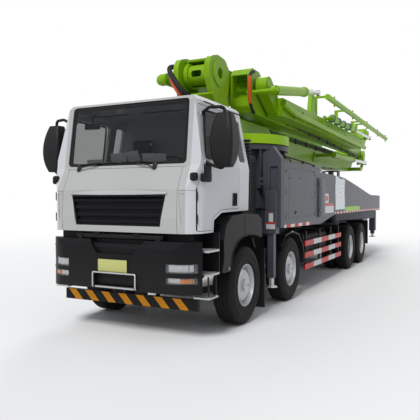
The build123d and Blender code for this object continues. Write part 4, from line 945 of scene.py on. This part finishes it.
# Ribbed air cleaner housing, board and hoses in the dark space behind the cab
housing = {"at": (-0.70, 0.79, 1.88), "size": (0.56, 0.34, 1.06)}
for side, sign in sideNames.items():
    long, wide, tall = housing["size"]
    x, y, z = housing["at"]
    spot = at(x, sign * y, z)
    parts = [plate(spot, (long, wide, tall), 0.05, segments=4)]
    ribs = [off(spot, 0, sign * (wide / 2 + 0.004), -tall / 2 + 0.12 + 0.105 * k) for k in range(9)]
    parts += [plate(rib, (long - 0.10, 0.018, 0.032), 0.007) for rib in ribs]
    parts += [plate(off(spot, long / 2 - 0.02, 0, up), (0.03, wide - 0.08, 0.05), 0.012)
              for up in (-0.3, 0.3)]
    duct = ((0.10, 0, -0.02), (0.10, 0, 0.10), (0.22, sign * 0.10, 0.10), (0.32, sign * 0.22, 0.04))
    parts.append(smoothPath([off(spot, dx, dy, tall / 2 + dz) for dx, dy, dz in duct], 0.07))
    settle(joined(parts), f"{side}_air_housing", "chassis", seal)
board = [plate(at(-1.02, 0, 1.78), (0.02, 1.62, 1.36), 0.008)]
board += [plate(at(-1.005, -0.72 + 0.18 * k, 1.78), (0.02, 0.03, 1.30), 0.006) for k in range(9)]
board += [plate(at(-1.005, 0, 1.25 + 0.27 * k), (0.022, 1.60, 0.028), 0.006) for k in range(5)]
settle(joined(board), "rear_bulkhead_board", "chassis", seal)
hoses = []
for k in range(6):
    y = -0.28 + 0.095 * k
    route = ((-0.98, y, 2.38), (-0.90, y, 2.30), (-0.86 + 0.02 * (k % 3), y + 0.04, 1.95),
             (-0.90, y - 0.03 * (k % 2), 1.55), (-0.97, y, 1.42))
    hoses.append(smoothPath([at(*spot) for spot in route], 0.018))
settle(joined(hoses), "supply_hoses", "chassis", hoseBlack)
print("space behind the cab ready")

# Slewing ring bolts
ring = {"at": -2.65, "bolts": 40, "radius": 0.845, "top": 2.895}
bolts = boltRing(at(ring["at"], 0, ring["top"]), "Z", ring["radius"], ring["bolts"], 0.020, 0.022)
settle(bolts, "ring_bolts", "turret", seal, 30)

# Couplings on the delivery pipes: places along each pipe's three stations
pipes = {"arm_3": (((-4.4, 1.187, 3.900), (-6.0, 1.187, 3.880), (-12.25, 1.187, 3.800), 0.060,
                    (-5.0, -6.9, -8.8, -10.6, -12.1)),
                   ((-2.85, 0.968, 3.340), (-9.6, 0.968, 3.280), (-9.6, 0.968, 3.280), 0.058,
                    (-3.4, -5.4, -7.0, -9.0))),
         "arm_5": (((-3.25, -1.115, 3.180), (-7.0, -1.115, 3.230), (-11.0, -1.115, 3.350), 0.050,
                    (-4.0, -6.2, -8.4, -10.4)),),
         "arm_1": (((-3.95, -0.345, 2.960), (-10.5, -0.355, 2.900), (-10.5, -0.355, 2.900), 0.062,
                    (-4.3, -6.0, -7.8, -9.6)),)}


def coupling(spot, along, r):
    # two-part pipe clamp with its ears and lever bolts, over raised pipe ends
    steps = [(0, 0.050), (0.010, 0.046), (0.010, 0.030), (0.022, 0.026)]
    shape = [(r + out, -half) for out, half in steps] + [(r + out, half) for out, half in reversed(steps)]
    piece = turned(shape, (0, 0, 0), "X", 24)
    ears = [plate((0, 0, s * (r + 0.034)), (0.040, 0.034, 0.040), 0.008) for s in (-1, 1)]
    bolts = [turned([(0.008, -0.026), (0.008, 0.026)], (0, 0, s * (r + 0.040)), "Y", 8) for s in (-1, 1)]
    piece = joined([piece] + ears + bolts)
    piece.matrix_world = Matrix.Translation(spot) @ along.to_track_quat("X", "Z").to_matrix().to_4x4()
    return piece


for body, runs in pipes.items():
    clamps = []
    for first, middle, last, r, spots in runs:
        for x in spots:
            start, end = (first, middle) if x > middle[0] else (middle, last)
            share = (x - start[0]) / (end[0] - start[0])
            spot = at(*(a + (b - a) * share for a, b in zip(start, end)))
            clamps.append(coupling(spot, (Vector(start) - Vector(end)).normalized(), r))
    settle(joined(clamps), f"{body}_couplings", body, boomGreen, 40)

# film wound round the fourth cylinder
film = {"base": (-5.20, 1.06, 3.56), "eye": (-9.98, 1.06, 3.60), "radius": 0.099, "sleeves": 4, "long": 0.42,
        "first": 0.30, "pitch": 0.55, "steps": 16}
first, last = at(*film["base"]), at(*film["eye"])
along = (last - first).normalized()
sleeves = []
for k in range(film["sleeves"]):
    steps = []
    for n in range(film["steps"] + 1):
        ripple = 0.005 * math.sin(n * 2.2 + k) + 0.003 * math.sin(n * 5.1 + 2 * k)
        steps.append((film["radius"] + ripple, (n / film["steps"] - 0.5) * film["long"]))
    sleeves.append(turned(steps, first + along * (film["first"] + k * film["pitch"]), "X", 20))
settle(joined(sleeves), "film_sleeves", "arm_4_barrel", wrapBlue, 50)

# bolts of the pin caps at the boom's joints: body, place, their circle, count, side
pins = (("turret", (-0.93, 0.352, 3.755), 0.185, 12, 1), ("turret", (-0.93, -0.352, 3.755), 0.185, 12, -1),
        ("arm_3", (-1.95, 0.900, 3.700), 0.115, 10, 1), ("arm_2", (-11.2, 0.560, 3.180), 0.13, 10, 1))
for k, (body, spot, radius, count, sign) in enumerate(pins):
    bolts = boltRing(at(*spot), "Y", radius, count, 0.011, 0.012, 0.1, sign)
    settle(bolts, f"pin_bolts_{k + 1}", body, boomGreen, 30)

# hose bundles clipped along the arms: outer face, its hoses' distance, two heights, two stations, hoses
bundles = {"arm_1": (0.292, 0.016, 3.10, 3.06, -2.9, -10.4, 3),
           "arm_2": (0.575, 0.016, 3.30, 3.10, -3.2, -10.2, 2),
           "arm_5": (-0.845, 0.018, 3.46, 3.44, -3.4, -10.8, 2)}
for body, (y, out, z1, z2, x1, x2, count) in bundles.items():
    pieces = []
    for n in range(count):
        drop = 0.034 * n
        route = ((x1, z1), ((x1 + x2) / 2, (z1 + z2) / 2), (x2, z2))
        pieces.append(rod([at(x, y + out, z - drop) for x, z in route], 0.012, 8))
    for n in range(9):
        share = (n + 0.5) / 9
        spot = at(x1 + (x2 - x1) * share, y + 0.015, z1 + (z2 - z1) * share - 0.017 * (count - 1))
        pieces.append(plate(spot, (0.04, 0.036, 0.034 * count + 0.02), 0.008))
    settle(joined(pieces), f"{body}_hose_bundle", body, hoseBlack)


def hose(name, body, points, radius, material):
    # a free hose on its own smooth curve
    piece = pathOf(name, [at(*point) for point in points], radius, 4, 8)
    piece.data.materials.append(material)
    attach(piece, body)


headHose = ((-1.800, 0.572, 3.940), (-1.715, 0.572, 3.928), (-1.640, 0.572, 3.860), (-1.602, 0.572, 3.745),
            (-1.598, 0.572, 3.610), (-1.615, 0.572, 3.475), (-1.655, 0.572, 3.350), (-1.730, 0.572, 3.262),
            (-1.815, 0.572, 3.240))
hose("head_hose", "arm_2", headHose, 0.030, headSleeve)
turretHose = ((-0.790, -0.368, 3.895), (-0.700, -0.425, 3.900), (-0.610, -0.420, 3.835),
              (-0.570, -0.350, 3.725), (-0.560, -0.260, 3.600), (-0.570, -0.175, 3.480),
              (-0.615, -0.115, 3.405), (-0.695, -0.090, 3.390))
hose("pivot_hose_black", "turret", turretHose, 0.042, hoseBlack)
turretHoseRed = ((-0.820, -0.368, 3.790), (-0.730, -0.420, 3.785), (-0.640, -0.410, 3.700),
                 (-0.600, -0.345, 3.585), (-0.595, -0.265, 3.470), (-0.645, -0.195, 3.380),
                 (-0.730, -0.155, 3.350))
hose("pivot_hose_red", "turret", turretHoseRed, 0.026, sleeveOrange)
swage = [(0.030, -0.05), (0.030, 0.03), (0.026, 0.035)]
ends = [turned(swage, at(*headHose[k]), "X", 14) for k in (0, -1)]
settle(joined(ends), "head_hose_fittings", "arm_2", hoseBlack)
for name, spots, radius in (("pivot_black", turretHose, 0.048), ("pivot_red", turretHoseRed, 0.032)):
    swage = [(radius, -0.02), (radius, 0.05), (radius * 0.85, 0.06)]
    ends = [turned(swage, off(at(*spots[k]), 0, 0.03, 0), "Y", 14, sign=-1) for k in (0, -1)]
    settle(joined(ends), f"{name}_hose_fittings", "turret", hoseBlack)
print("boom fittings ready")
